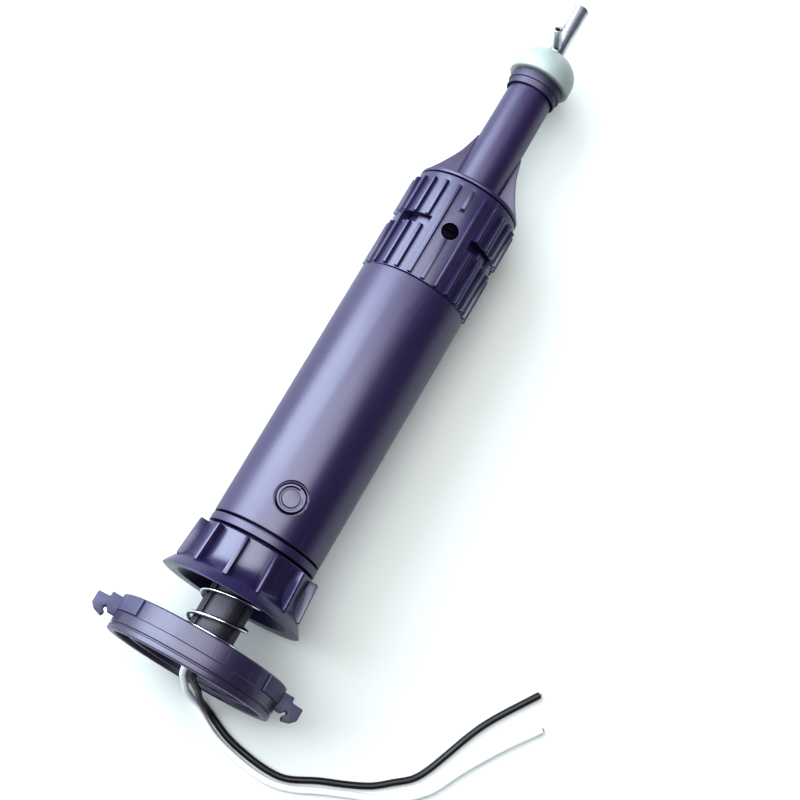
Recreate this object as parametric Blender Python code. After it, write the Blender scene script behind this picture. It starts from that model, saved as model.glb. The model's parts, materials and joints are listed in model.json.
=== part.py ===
"""Spring-loaded desoldering pump, lying on its side on a flat surface.

Every piece but the two leads is drawn along the tool's axis: local Z runs from the thumb cap at the rear to
the nozzle, local X is the side that faces up, and angles turn from X about Z. The empty "tool_axis" lays
that axis down, so that the thumb cap and the collar's ribs both touch the surface at Z = 0.
"""

from math import atan2, ceil, cos, pi, radians, sin

import bmesh
import bpy
from mathutils import Matrix, Vector

# How round the turned pieces are, and the gaps between them.
FACETS = 32
COLLAR_FACETS = 48
FINE_FACETS = 16
GAP = 0.0003  # between pieces that touch or are bonded
RUN = 0.00015  # between a seal and the bore that it slides in
CUT_PAST = 0.001  # how far a cutter reaches past the face that it cuts
JOIN_IN = 0.0006  # how far a joined piece reaches into the piece that it joins

# Thumb cap.
CAP_RADIUS = 0.0228
CAP_LENGTH = 0.0095
CAP_RIM = 0.0022
CAP_WEB = 0.0030
CAP_RING_INSET = 0.0054
CAP_RING_WALL = 0.0012
CAP_RING_SET_BACK = 0.0010
CAP_BOSS_WALL = 0.0020
CAP_BOSS_REAR = 0.0046
CAP_BOSS_FLOOR = 0.0012
EAR_HEIGHT = 0.0062
EAR_WIDTH = 0.0050
EAR_HOOK = (  # how far in from the ear's tip, and how far behind the cap's front face
    (0.0032, 0.0012),
    (0.0032, 0.0025),
    (0, 0.0027),
    (0, 0.0059),
    (0.0011, 0.0070),
    (0.0034, 0.0077),
    (0.0038, 0.0066),
    (0.0029, 0.0056),
    (0.0034, 0.0049),
    (0.0044, 0.0061),
)

# Shaft.
SHAFT_RADIUS = 0.0062
SHAFT_WALL = 0.0026
SHAFT_SHOULDER = 0.0014
FLUTE_COUNT = 4
FLUTE_DEPTH = 0.0007
FLUTE_HALF_ANGLE = radians(7)
FLUTE_REAR_MARGIN = 0.0008
FLUTE_FRONT_MARGIN = 0.0040
STROKE = 0.0105
STROKE_SPARE = 0.0010  # left between the cap and the nut at the end of the stroke

# Leads.
LEAD_RADIUS = 0.0009
LEAD_SPREAD = 0.0014
BUSH_FLANGE = 0.0006
BUSH_FLANGE_HEIGHT = 0.0012
BUSH_LENGTH = 0.0030
LEAD_FACETS = 12
LEAD_POINT_STEP = 0.0045

# Barrel.
BARREL_RADIUS = 0.0150
BARREL_LENGTH = 0.0746
BARREL_WALL = 0.0024
BORE_TO_FRONT = 0.0052
SPIGOT_WALL = 0.0015
NOSE_LUG_HEIGHT = 0.0014
NOSE_LUG_ANGLE = radians(18)
NOSE_LUG_PLAY = radians(1.5)
LOCK_TRACK_PLAY = radians(2)

# Rear gland, which carries the shaft, the latch and the nut.
BAND_WIDTH = 0.0021
GLAND_NECK_INSET = 0.0036
GLAND_PLUG_LENGTH = 0.0200
SPRING_POCKET_ROOM = 0.0011
SPRING_POCKET_WEB = 0.0029
GLAND_LUG_HEIGHT = 0.0015
GLAND_LUG_LENGTH = 0.0025
GLAND_LUG_HALF_ANGLE = radians(15)
GLAND_LUG_COUNT = 3
GLAND_SEAL_TO_FRONT = 0.0060
SEAL_WIDTH = 0.0024
SEAL_DEPTH = 0.0019

# Guard nut.
NUT_LENGTH = 0.0143
NUT_MOUTH_DEPTH = 0.0050
NUT_ROOT_HEIGHT = 0.0002
NUT_RIM_HEIGHT = 0.0046
NUT_RIM_WIDTH = 0.0040
NUT_RIB_COUNT = 12
NUT_RIB_WIDTH = 0.0016
NUT_RIB_REAR_HEIGHT = 0.0030
NUT_RIB_FRONT_HEIGHT = 0.0023
NUT_RIB_REAR_MARGIN = 0.0030
NUT_RIB_FRONT_MARGIN = 0.0006
NUT_MOUTH_CURVE = ((0.0010, 0.0016), (0, 0.0003))  # in from the mouth's edge, and ahead of the nut's rear
NUT_FLARE = (  # out from the nut's waist, and ahead of the nut's rear
    (0.0026, 0.0028),
    (0.0011, 0.0042),
    (0.0003, 0.0062),
    (0, 0.0084),
)
NUT_EDGE = 0.0004
NUT_RIM_EDGE = (0.0007, 0.0012)  # in from the rim, and ahead of the nut's rear
NUT_ENTRY_PLAY = radians(3)
NUT_TWIST = radians(45)

# Springs.
WIRE_RADIUS = 0.0005
SPRING_ROOM = 0.0007
SPRING_TURNS = 3
SPRING_START_ANGLE = radians(-185)
LATCH_WIRE_RADIUS = 0.0002
LATCH_SPRING_RADIUS = 0.0009
LATCH_SPRING_TURNS = 2

# Release button and latch plate.
BUTTON_TO_BARREL_REAR = 0.0098
BUTTON_RADIUS = 0.0037
BUTTON_RIM = 0.0009
BUTTON_SUNK = 0.0004
BUTTON_DISH = 0.0005
BUTTON_FLANGE = 0.0008
BUTTON_FLANGE_THICKNESS = 0.0012
BUTTON_RECESS_ROOM = 0.0007
BUTTON_RECESS_DEPTH = 0.0013
BUTTON_TRAVEL = 0.0018
PLATE_THICKNESS = 0.0022
PLATE_HOLE_OFFSET = 0.0010
PLATE_MARGIN = 0.0020
LATCH_NOTCH_DEPTH = 0.0011

# Piston.
PISTON_LENGTH = 0.0100
PISTON_NUT_WALL = 0.0009
PISTON_NUT_HEIGHT = 0.0032
LEAD_PLUG_LENGTH = 0.0057

# Grip collar and the bayonet under it.
COLLAR_LENGTH = 0.0295
COLLAR_WALL = 0.0022
COLLAR_INSET = 0.0006
RIB_HEIGHT = 0.0010
RIB_WIDTH = 0.0011
RIB_COUNT = 24
RIB_MARGIN = 0.0002
RIB_FRONT_MARGIN = 0.0016
WINDOW_FROM_REAR = 0.0137
WINDOW_LENGTH = 0.0030
WINDOW_ANGLES = (radians(24), radians(66))
WINDOW_COUNT = 4
THROUGH_RIBS_ANGLE = radians(23)
LOCK_SCREW_RADIUS = 0.0020
LOCK_SCREW_TIP_RADIUS = 0.0011
LOCK_SCREW_TIP_DEPTH = 0.0008
LOCK_SCREW_SUNK = 0.0003
LOCK_SCREW_SLOT = 0.0006

# Nose.
NOSE_INNER_LENGTH = 0.0070
NOSE_SEAL_FROM_REAR = 0.0022
NOSE_SEAL_DEPTH = 0.0015
NOSE_WALL = 0.0031
NOSE_SHOULDER = 0.0011
SHOULDER_EDGE = 0.0003
SHOULDER_FILLET = ((0.0010, 0.0004), (0, 0.0020))  # out from the neck, and ahead of the shoulder
CHAMBER_END = 0.0030  # the chamber narrows to the neck's bore over this much on each side of the shoulder
NECK_REAR_RADIUS = 0.0066
NECK_FRONT_RADIUS = 0.00635
NECK_LENGTH = 0.0356
FIN_THICKNESS = 0.0012
FIN_ROOT_DEPTH = 0.0010
FIN_LENGTH = 0.0171
FIN_EDGE = 0.0002
FIN_CURVE = ((0.65, 0.27), (0.41, 0.46), (0.23, 0.64))  # shares of the fin's height and length

# Nozzle.
TUBE_RADIUS = 0.0021
TUBE_WALL = 0.0008
TUBE_INSIDE = 0.0295
TUBE_OUTSIDE = 0.0166
RING_OVERLAP = 0.0014
RING_BACK_LENGTH = 0.0019
RING_LENGTH = 0.0043
RING_LIP = 0.0009
RING_BACK_WALL = 0.00045
RING_WALL = 0.00085
SEAT_STEM_INSET = 0.0013
SEAT_RADIUS = 0.0088
SEAT_SHOULDER = 0.0039
SEAT_DOME = 0.0056
SEAT_STEPS = 4
HEATER_WALL = 0.0009
HEATER_INSET = 0.0010
SIDE_TUBE_FROM_SEAT = 0.0016
SIDE_TUBE_ANGLE = radians(-20)
SIDE_TUBE_LEAN = radians(73)
SIDE_TUBE_REACH = 0.0083
SIDE_TUBE_RADIUS = 0.00115
SIDE_TUBE_BORE = 0.0006
SIDE_TUBE_FACETS = 10

# Places along the axis, from the thumb cap to the nozzle.
CAP_FRONT = CAP_LENGTH
NUT_REAR = CAP_FRONT + STROKE + STROKE_SPARE
NUT_FRONT = NUT_REAR + NUT_LENGTH
GLAND_REAR = NUT_REAR + NUT_MOUTH_DEPTH
GLAND_LUG_REAR = GLAND_REAR + GLAND_LUG_LENGTH
GLAND_LUG_FRONT = GLAND_LUG_REAR + GLAND_LUG_LENGTH
BAND_REAR = NUT_FRONT + 2 * GAP
BAND_FRONT = BAND_REAR + BAND_WIDTH
SPRING_POCKET_FLOOR = BAND_REAR - SPRING_POCKET_WEB
GLAND_FRONT = BAND_FRONT + GLAND_PLUG_LENGTH
GLAND_SEAL_REAR = GLAND_FRONT - GLAND_SEAL_TO_FRONT
BARREL_REAR = BAND_FRONT + 2 * GAP
BARREL_FRONT = BARREL_REAR + BARREL_LENGTH
BORE_END = BARREL_FRONT - BORE_TO_FRONT
BUTTON_AT = BARREL_REAR + BUTTON_TO_BARREL_REAR
PLATE_REAR = BUTTON_AT - PLATE_THICKNESS / 2
PLATE_FRONT = BUTTON_AT + PLATE_THICKNESS / 2
SHAFT_SOCKET_FLOOR = CAP_BOSS_REAR + CAP_BOSS_FLOOR
SHAFT_REAR = SHAFT_SOCKET_FLOOR + GAP
PISTON_REAR = GLAND_FRONT + GAP
PISTON_FRONT = PISTON_REAR + PISTON_LENGTH
SHAFT_FRONT = PISTON_FRONT + PISTON_NUT_HEIGHT + 3 * GAP
COLLAR_REAR = BARREL_FRONT + GAP
COLLAR_FRONT = COLLAR_REAR + COLLAR_LENGTH
WINDOW_REAR = COLLAR_REAR + WINDOW_FROM_REAR
WINDOW_FRONT = WINDOW_REAR + WINDOW_LENGTH
LOCK_SCREW_AT = (WINDOW_REAR + WINDOW_FRONT) / 2
REAR_RIBS = (COLLAR_REAR + RIB_MARGIN, WINDOW_REAR + RIB_MARGIN)
FRONT_RIBS = (WINDOW_FRONT - RIB_MARGIN, COLLAR_FRONT - RIB_FRONT_MARGIN)
SPIGOT_FRONT = WINDOW_FRONT + NOSE_LUG_HEIGHT / 2
NOSE_INNER_REAR = SPIGOT_FRONT - NOSE_INNER_LENGTH
NOSE_SEAL_REAR = NOSE_INNER_REAR + NOSE_SEAL_FROM_REAR
NOSE_FLANGE_REAR = SPIGOT_FRONT + 2 * GAP
SHOULDER_REAR = COLLAR_FRONT + GAP
SHOULDER_FRONT = SHOULDER_REAR + NOSE_SHOULDER
NECK_FRONT = SHOULDER_FRONT + NECK_LENGTH
RING_REAR = NECK_FRONT - RING_OVERLAP
RING_STEP = RING_REAR + RING_BACK_LENGTH
RING_FRONT = RING_REAR + RING_LENGTH
SEAT_WIDEST = RING_FRONT + SEAT_SHOULDER
SEAT_FRONT = SEAT_WIDEST + SEAT_DOME
TUBE_REAR = NECK_FRONT - TUBE_INSIDE
TUBE_FRONT = SEAT_FRONT + TUBE_OUTSIDE
SIDE_TUBE_AT = SEAT_FRONT + SIDE_TUBE_FROM_SEAT

# Radii that follow from the sizes above.
EAR_REACH = CAP_RADIUS + EAR_HEIGHT
CAP_RING_RADIUS = CAP_RADIUS - CAP_RING_INSET
SHAFT_HOLE = SHAFT_RADIUS + GAP
SHAFT_BORE = SHAFT_RADIUS - SHAFT_WALL
SHAFT_END_RADIUS = SHAFT_RADIUS - SHAFT_SHOULDER
SPRING_RADIUS = SHAFT_RADIUS + SPRING_ROOM + WIRE_RADIUS
SPRING_POCKET_RADIUS = SPRING_RADIUS + WIRE_RADIUS + SPRING_POCKET_ROOM
BARREL_BORE = BARREL_RADIUS - BARREL_WALL
GLAND_RADIUS = BARREL_RADIUS - GLAND_NECK_INSET
GLAND_PLUG_RADIUS = BARREL_BORE - GAP
PISTON_RADIUS = BARREL_BORE - GAP
NUT_ROOT_RADIUS = BARREL_RADIUS + NUT_ROOT_HEIGHT
NUT_RIM_RADIUS = BARREL_RADIUS + NUT_RIM_HEIGHT
NUT_MOUTH_RADIUS = NUT_RIM_RADIUS - NUT_RIM_WIDTH
NUT_RIB_REAR_RADIUS = BARREL_RADIUS + NUT_RIB_REAR_HEIGHT
NUT_RIB_FRONT_RADIUS = BARREL_RADIUS + NUT_RIB_FRONT_HEIGHT
COLLAR_RADIUS = BARREL_RADIUS - COLLAR_INSET
COLLAR_BORE = COLLAR_RADIUS - COLLAR_WALL
RIB_RADIUS = COLLAR_RADIUS + RIB_HEIGHT
SPIGOT_RADIUS = COLLAR_BORE - GAP
SPIGOT_BORE = SPIGOT_RADIUS - SPIGOT_WALL
NOSE_LUG_RADIUS = SPIGOT_RADIUS + NOSE_LUG_HEIGHT
LOCK_SCREW_TOP = COLLAR_RADIUS - LOCK_SCREW_SUNK
BUTTON_HOLE = BUTTON_RADIUS + GAP
BUTTON_TOP = BARREL_RADIUS - BUTTON_SUNK
PLATE_HOLE_RADIUS = SHAFT_HOLE + PLATE_HOLE_OFFSET
PLATE_HALF_WIDTH = PLATE_HOLE_RADIUS + PLATE_MARGIN
PLATE_TOP = PLATE_HOLE_OFFSET + PLATE_HOLE_RADIUS + PLATE_MARGIN - GAP
PLATE_BOTTOM = SHAFT_HOLE + PLATE_MARGIN + GAP
BUTTON_BOTTOM = PLATE_TOP + GAP
TUBE_BORE = TUBE_RADIUS - TUBE_WALL
TUBE_HOLE = TUBE_RADIUS + GAP
HEATER_RADIUS = TUBE_HOLE + HEATER_WALL
NECK_BORE = HEATER_RADIUS + GAP
SEAT_FLANGE_RADIUS = NECK_FRONT_RADIUS
SEAT_STEM_RADIUS = SEAT_FLANGE_RADIUS - SEAT_STEM_INSET

# How the tool lies, and how far its bayonets turn.
TILT = atan2(CAP_RADIUS - RIB_RADIUS, FRONT_RIBS[1] - CAP_FRONT)
AXIS_HEIGHT = CAP_RADIUS * cos(TILT) + CAP_FRONT * sin(TILT)
REARMOST = -CAP_RADIUS * sin(TILT)
FOREMOST = TUBE_FRONT * cos(TILT) + TUBE_RADIUS * sin(TILT)
ENTRY_START = WINDOW_ANGLES[0] + radians(1)
NOSE_TWIST = WINDOW_ANGLES[1] - ENTRY_START - NOSE_LUG_ANGLE - 2 * NOSE_LUG_PLAY


def material(name, colour, roughness, metallic=0.0):
    made = bpy.data.materials.new(name)
    made.use_nodes = True
    shader = made.node_tree.nodes["Principled BSDF"]
    shader.inputs["Base Color"].default_value = (*colour, 1.0)
    shader.inputs["Roughness"].default_value = roughness
    shader.inputs["Metallic"].default_value = metallic
    return made


def empty(name, parent=None, place=(0, 0, 0)):
    made = bpy.data.objects.new(name, None)
    bpy.context.collection.objects.link(made)
    made.parent = parent
    made.location = place
    return made


def solid(name, bm, finish, parent):
    """Turn a bmesh drawn in the tool's own coordinates into an object under the parent empty."""
    bmesh.ops.remove_doubles(bm, verts=bm.verts, dist=1e-7)
    bmesh.ops.recalc_face_normals(bm, faces=bm.faces)
    bmesh.ops.translate(bm, verts=bm.verts, vec=-offset_from_axis(parent))
    mesh = bpy.data.meshes.new(name)
    bm.to_mesh(mesh)
    bm.free()
    mesh.shade_smooth()
    mesh.set_sharp_from_angle(angle=radians(30))
    if finish:
        mesh.materials.append(finish)
    made = bpy.data.objects.new(name, mesh)
    bpy.context.collection.objects.link(made)
    made.parent = parent
    return made


def offset_from_axis(parent):
    """Where a joint's empty stands in the tool's own coordinates."""
    return Vector((0, 0, 0)) if parent is tool_axis else Vector(parent.location)


def boolean(target, operation, bm):
    """Cut the bmesh from the target, or join it on; the tool stays as a hidden wire object."""
    tool = solid(f"{target.name}.{operation.lower()}.{len(target.modifiers)}", bm, None, target.parent)
    tool.hide_render = True
    tool.display_type = "WIRE"
    change = target.modifiers.new(tool.name, "BOOLEAN")
    change.operation = operation
    change.solver = "EXACT"
    change.object = tool


def turned(outline, facets=FACETS):
    """The outline (radius, along) spun about the axis, with its flats at the radius asked for.

    An outline that starts and ends at radius 0 makes a plug; any other is closed and makes a ring.
    """
    bm = bmesh.new()
    corner = 1 / cos(pi / facets)
    verts = [bm.verts.new((radius * corner, 0, along)) for radius, along in outline]
    ends = zip(verts, verts[1:] + verts[:1]) if outline[0][0] > 0 else zip(verts, verts[1:])
    edges = [bm.edges.new(pair) for pair in ends]
    bmesh.ops.rotate(bm, verts=verts, cent=(0, 0, 0), matrix=Matrix.Rotation(pi / facets, 3, "Z"))
    bmesh.ops.spin(
        bm, geom=verts + edges, cent=(0, 0, 0), axis=(0, 0, 1), angle=2 * pi, steps=facets, use_merge=True
    )
    return bm


def sleeve(inner, outer, rear, front, facets=FACETS):
    return turned([(inner, rear), (outer, rear), (outer, front), (inner, front)], facets)


def rod(radius, rear, front, facets=FACETS):
    return turned([(0, rear), (radius, rear), (radius, front), (0, front)], facets)


def sector(inner, outer, rear, front, start, end):
    """A block bent round the axis, from one angle to another."""
    bm = bmesh.new()
    corners = [(inner, rear), (outer, rear), (outer, front), (inner, front)]
    face = bm.faces.new([bm.verts.new((radius, 0, along)) for radius, along in corners])
    bmesh.ops.rotate(bm, verts=bm.verts, cent=(0, 0, 0), matrix=Matrix.Rotation(start, 3, "Z"))
    steps = ceil((end - start) / radians(8))
    bmesh.ops.spin(bm, geom=[face], cent=(0, 0, 0), axis=(0, 0, 1), angle=end - start, steps=steps)
    return bm


def prism(corners, move):
    """A flat outline pushed along the vector move."""
    bm = bmesh.new()
    face = bm.faces.new([bm.verts.new(corner) for corner in corners])
    grown = bmesh.ops.extrude_face_region(bm, geom=[face])["geom"]
    bmesh.ops.translate(bm, verts=[g for g in grown if isinstance(g, bmesh.types.BMVert)], vec=move)
    return bm


def block(low, high):
    """A box from one corner to the other."""
    across = ((low[0], low[1]), (high[0], low[1]), (high[0], high[1]), (low[0], high[1]))
    return prism([(x, y, low[2]) for x, y in across], (0, 0, high[2] - low[2]))


def upright(bm, along):
    """Stand a piece that was drawn along Z up along X, at a place along the axis."""
    bmesh.ops.rotate(bm, verts=bm.verts, cent=(0, 0, 0), matrix=Matrix.Rotation(pi / 2, 3, "Y"))
    bmesh.ops.translate(bm, verts=bm.verts, vec=(0, 0, along))
    return bm


def together(pieces):
    """Several bmeshes that don't touch, as one."""
    whole = bmesh.new()
    for piece in pieces:
        mesh = bpy.data.meshes.new("loose")
        bmesh.ops.recalc_face_normals(piece, faces=piece.faces)
        piece.to_mesh(mesh)
        whole.from_mesh(mesh)
        piece.free()
        bpy.data.meshes.remove(mesh)
    return whole


def turned_about(bm, angle):
    bmesh.ops.rotate(bm, verts=bm.verts, cent=(0, 0, 0), matrix=Matrix.Rotation(angle, 3, "Z"))
    return bm


def wire(name, points, radius, rounding, finish, parent):
    """A round wire along the points: a curve with a bevel and filled ends."""
    curve = bpy.data.curves.new(name, "CURVE")
    curve.dimensions = "3D"
    curve.bevel_depth = radius
    curve.bevel_resolution = rounding
    curve.use_fill_caps = True
    spline = curve.splines.new("POLY")
    spline.points.add(len(points) - 1)
    for spot, point in zip(spline.points, points):
        spot.co = (*point, 1.0)
    curve.materials.append(finish)
    made = bpy.data.objects.new(name, curve)
    bpy.context.collection.objects.link(made)
    made.parent = parent
    return made


def coil(radius, wire_radius, rear, front, turns, start_angle, steps=16):
    """A compression spring's centre line: one closed turn, the open turns, one closed turn."""
    closed_rise = 2.3 * wire_radius
    low = rear + wire_radius
    rise = (front - wire_radius - low - 2 * closed_rise) / turns
    points = []
    for i in range((turns + 2) * steps + 1):
        turn = i / steps - 1
        open_turns = min(max(turn, 0), turns)
        closed_turns = min(turn, 0) + 1 + max(turn - turns, 0)
        angle = start_angle + 2 * pi * turn
        along = low + open_turns * rise + closed_turns * closed_rise
        points.append(Vector((radius * cos(angle), radius * sin(angle), along)))
    return points


def smooth_route(route, step):
    """Points a step apart on the smooth curve that runs through the route's own points."""
    spots = [Vector(spot) for spot in route]
    spots = [2 * spots[0] - spots[1], *spots, 2 * spots[-1] - spots[-2]]
    fine = []
    for before, a, b, after in zip(spots, spots[1:], spots[2:], spots[3:]):
        for i in range(20):
            t = i / 20
            pull = (2 * before - 5 * a + 4 * b - after) * t**2 + (3 * a - before - 3 * b + after) * t**3
            fine.append(a + ((b - before) * t + pull) / 2)
    fine.append(spots[-2])
    length = sum((b - a).length for a, b in zip(fine, fine[1:]))
    spacing = length / ceil(length / step)
    points = [fine[0]]
    gone = 0.0
    for a, b in zip(fine, fine[1:]):
        span = (b - a).length
        while gone + span >= spacing * len(points) - 1e-9:
            points.append(a.lerp(b, (spacing * len(points) - gone) / span))
        gone += span
    return points


def make_rear_cap():
    web_rear = CAP_FRONT - CAP_WEB
    inside = CAP_RADIUS - CAP_RIM
    ring_inside = CAP_RING_RADIUS - CAP_RING_WALL
    boss = SHAFT_HOLE + CAP_BOSS_WALL
    outline = [
        (SHAFT_HOLE, CAP_FRONT),
        (SHAFT_HOLE, SHAFT_SOCKET_FLOOR),
        (SHAFT_BORE, SHAFT_SOCKET_FLOOR),
        (SHAFT_BORE, CAP_BOSS_REAR),
        (boss, CAP_BOSS_REAR),
        (boss, web_rear),
        (ring_inside, web_rear),
        (ring_inside, CAP_RING_SET_BACK),
        (CAP_RING_RADIUS, CAP_RING_SET_BACK),
        (CAP_RING_RADIUS, web_rear),
        (inside, web_rear),
        (inside, 0),
        (CAP_RADIUS, 0),
        (CAP_RADIUS, CAP_FRONT),
    ]
    cap = solid("rear_cap", turned(outline), black_plastic, plunger_axis)
    root = CAP_RADIUS - CAP_RIM / 2
    ear = [
        (root, CAP_FRONT - EAR_HOOK[0][1]),
        *((EAR_REACH - in_by, CAP_FRONT - behind) for in_by, behind in EAR_HOOK),
        (root, CAP_FRONT - EAR_HOOK[-1][1]),
    ]
    for side in (1, -1):
        corners = [(-EAR_WIDTH / 2, side * out, along) for out, along in ear]
        boolean(cap, "UNION", prism(corners, (EAR_WIDTH, 0, 0)))


def make_lead_bush():
    """A soft bush in the cap's boss, with one hole for each lead."""
    outer = SHAFT_BORE - GAP
    flange = SHAFT_BORE + BUSH_FLANGE_HEIGHT
    flange_rear = CAP_BOSS_REAR - GAP - BUSH_FLANGE
    front = SHAFT_REAR + BUSH_LENGTH
    outline = [
        (0, flange_rear),
        (flange, flange_rear),
        (flange, CAP_BOSS_REAR - GAP),
        (outer, CAP_BOSS_REAR - GAP),
        (outer, front),
        (0, front),
    ]
    bush = solid("lead_bush", turned(outline, FINE_FACETS), rubber, plunger_axis)
    holes = []
    for side in (1, -1):
        hole = rod(LEAD_RADIUS + GAP, flange_rear - CUT_PAST, front + CUT_PAST, LEAD_FACETS)
        bmesh.ops.translate(hole, verts=hole.verts, vec=(0, side * LEAD_SPREAD, 0))
        holes.append(hole)
    boolean(bush, "DIFFERENCE", together(holes))


def make_leads():
    """Two loose leads: out of the bush, down inside the cap's hollow, over its rim and along the surface.

    Their points are places above the surface, chosen by hand.
    """
    white_route = [
        (-0.0958, 0.0014, 0.0228), (-0.0983, 0.0014, 0.0230), (-0.1006, 0.0014, 0.0231),
        (-0.1026, 0.0013, 0.0222), (-0.1038, 0.0010, 0.0199), (-0.1047, 0.0003, 0.0157),
        (-0.1054, -0.0005, 0.0114), (-0.1069, -0.0018, 0.0068), (-0.1077, -0.0035, 0.0035),
        (-0.1088, -0.0056, 0.0015), (-0.1106, -0.0088, 0.0010), (-0.1135, -0.0144, 0.0010),
        (-0.1154, -0.0218, 0.0010), (-0.1163, -0.0280, 0.0010), (-0.1162, -0.0334, 0.0010),
        (-0.1147, -0.0388, 0.0010), (-0.1119, -0.0446, 0.0010), (-0.1092, -0.0510, 0.0010),
        (-0.1066, -0.0574, 0.0010), (-0.1030, -0.0640, 0.0010), (-0.0985, -0.0690, 0.0010),
        (-0.0943, -0.0716, 0.0010), (-0.0882, -0.0748, 0.0010), (-0.0784, -0.0810, 0.0010),
        (-0.0695, -0.0875, 0.0010),
    ]
    black_route = [
        (-0.0958, -0.0014, 0.0228), (-0.0983, -0.0014, 0.0230), (-0.1006, -0.0014, 0.0231),
        (-0.1026, -0.0015, 0.0222), (-0.1039, -0.0020, 0.0199), (-0.1048, -0.0031, 0.0155),
        (-0.1056, -0.0045, 0.0110), (-0.1073, -0.0062, 0.0067), (-0.1080, -0.0082, 0.0034),
        (-0.1090, -0.0104, 0.0015), (-0.1104, -0.0134, 0.0010), (-0.1121, -0.0177, 0.0010),
        (-0.1134, -0.0240, 0.0010), (-0.1140, -0.0305, 0.0010), (-0.1133, -0.0359, 0.0010),
        (-0.1098, -0.0430, 0.0010), (-0.1070, -0.0498, 0.0010), (-0.1040, -0.0558, 0.0010),
        (-0.1004, -0.0603, 0.0010), (-0.0973, -0.0640, 0.0010), (-0.0934, -0.0664, 0.0010),
        (-0.0877, -0.0687, 0.0010), (-0.0797, -0.0718, 0.0010), (-0.0731, -0.0752, 0.0010),
        (-0.0619, -0.0825, 0.0010),
    ]
    for name, route, finish in (
        ("lead_white", white_route, white_sheath),
        ("lead_black", black_route, black_sheath),
    ):
        wire(name, smooth_route(route, LEAD_POINT_STEP), LEAD_RADIUS, 2, finish, None)


def make_shaft():
    outline = [
        (SHAFT_BORE, SHAFT_REAR),
        (SHAFT_RADIUS, SHAFT_REAR),
        (SHAFT_RADIUS, GLAND_FRONT),
        (SHAFT_END_RADIUS, GLAND_FRONT),
        (SHAFT_END_RADIUS, SHAFT_FRONT),
        (SHAFT_BORE, SHAFT_FRONT),
    ]
    shaft = solid("plunger_shaft", turned(outline), shaft_plastic, plunger_axis)
    flutes = []
    floor = SHAFT_RADIUS - FLUTE_DEPTH
    rear = CAP_FRONT + FLUTE_REAR_MARGIN
    front = GLAND_FRONT - FLUTE_FRONT_MARGIN
    for i in range(FLUTE_COUNT):
        centre = 2 * pi * (i + 0.5) / FLUTE_COUNT
        ends = (centre - FLUTE_HALF_ANGLE, centre + FLUTE_HALF_ANGLE)
        flutes.append(sector(floor, SHAFT_RADIUS + CUT_PAST, rear, front, *ends))
    boolean(shaft, "DIFFERENCE", together(flutes))
    notch_rear = PLATE_REAR - STROKE - GAP
    notch_front = PLATE_FRONT - STROKE + GAP
    low = (-SHAFT_RADIUS - CUT_PAST, -SHAFT_RADIUS, notch_rear)
    high = (-SHAFT_RADIUS + LATCH_NOTCH_DEPTH, SHAFT_RADIUS, notch_front)
    boolean(shaft, "DIFFERENCE", block(low, high))


def make_lead_plug():
    rear = SHAFT_FRONT - GAP - LEAD_PLUG_LENGTH
    solid("lead_plug", rod(SHAFT_BORE - GAP, rear, SHAFT_FRONT - GAP, FINE_FACETS), rubber, plunger_axis)


def make_piston():
    groove_rear = PISTON_REAR + PISTON_LENGTH / 2 - SEAL_WIDTH / 2
    groove_front = groove_rear + SEAL_WIDTH
    bore = SHAFT_END_RADIUS + GAP
    outline = [
        (bore, PISTON_REAR),
        (PISTON_RADIUS, PISTON_REAR),
        (PISTON_RADIUS, groove_rear),
        (PISTON_RADIUS - SEAL_DEPTH, groove_rear),
        (PISTON_RADIUS - SEAL_DEPTH, groove_front),
        (PISTON_RADIUS, groove_front),
        (PISTON_RADIUS, PISTON_FRONT),
        (bore, PISTON_FRONT),
    ]
    solid("piston", turned(outline), white_plastic, plunger_axis)
    inner = PISTON_RADIUS - SEAL_DEPTH + GAP
    seal = sleeve(inner, BARREL_BORE - RUN, groove_rear + GAP, groove_front - GAP)
    solid("piston_seal", seal, rubber, plunger_axis)
    nut_rear = PISTON_FRONT + GAP
    nut_front = nut_rear + PISTON_NUT_HEIGHT
    hexagon = rod(bore + PISTON_NUT_WALL, nut_rear, nut_front, 6)
    nut = solid("piston_nut", hexagon, steel, plunger_axis)
    boolean(nut, "DIFFERENCE", rod(bore, nut_rear - CUT_PAST, nut_front + CUT_PAST, FINE_FACETS))


def make_suction_spring():
    rear = CAP_FRONT + GAP
    front = SPRING_POCKET_FLOOR - GAP
    points = coil(SPRING_RADIUS, WIRE_RADIUS, rear, front, SPRING_TURNS, SPRING_START_ANGLE)
    wire("suction_spring", points, WIRE_RADIUS, 1, steel, tool_axis)


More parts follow.
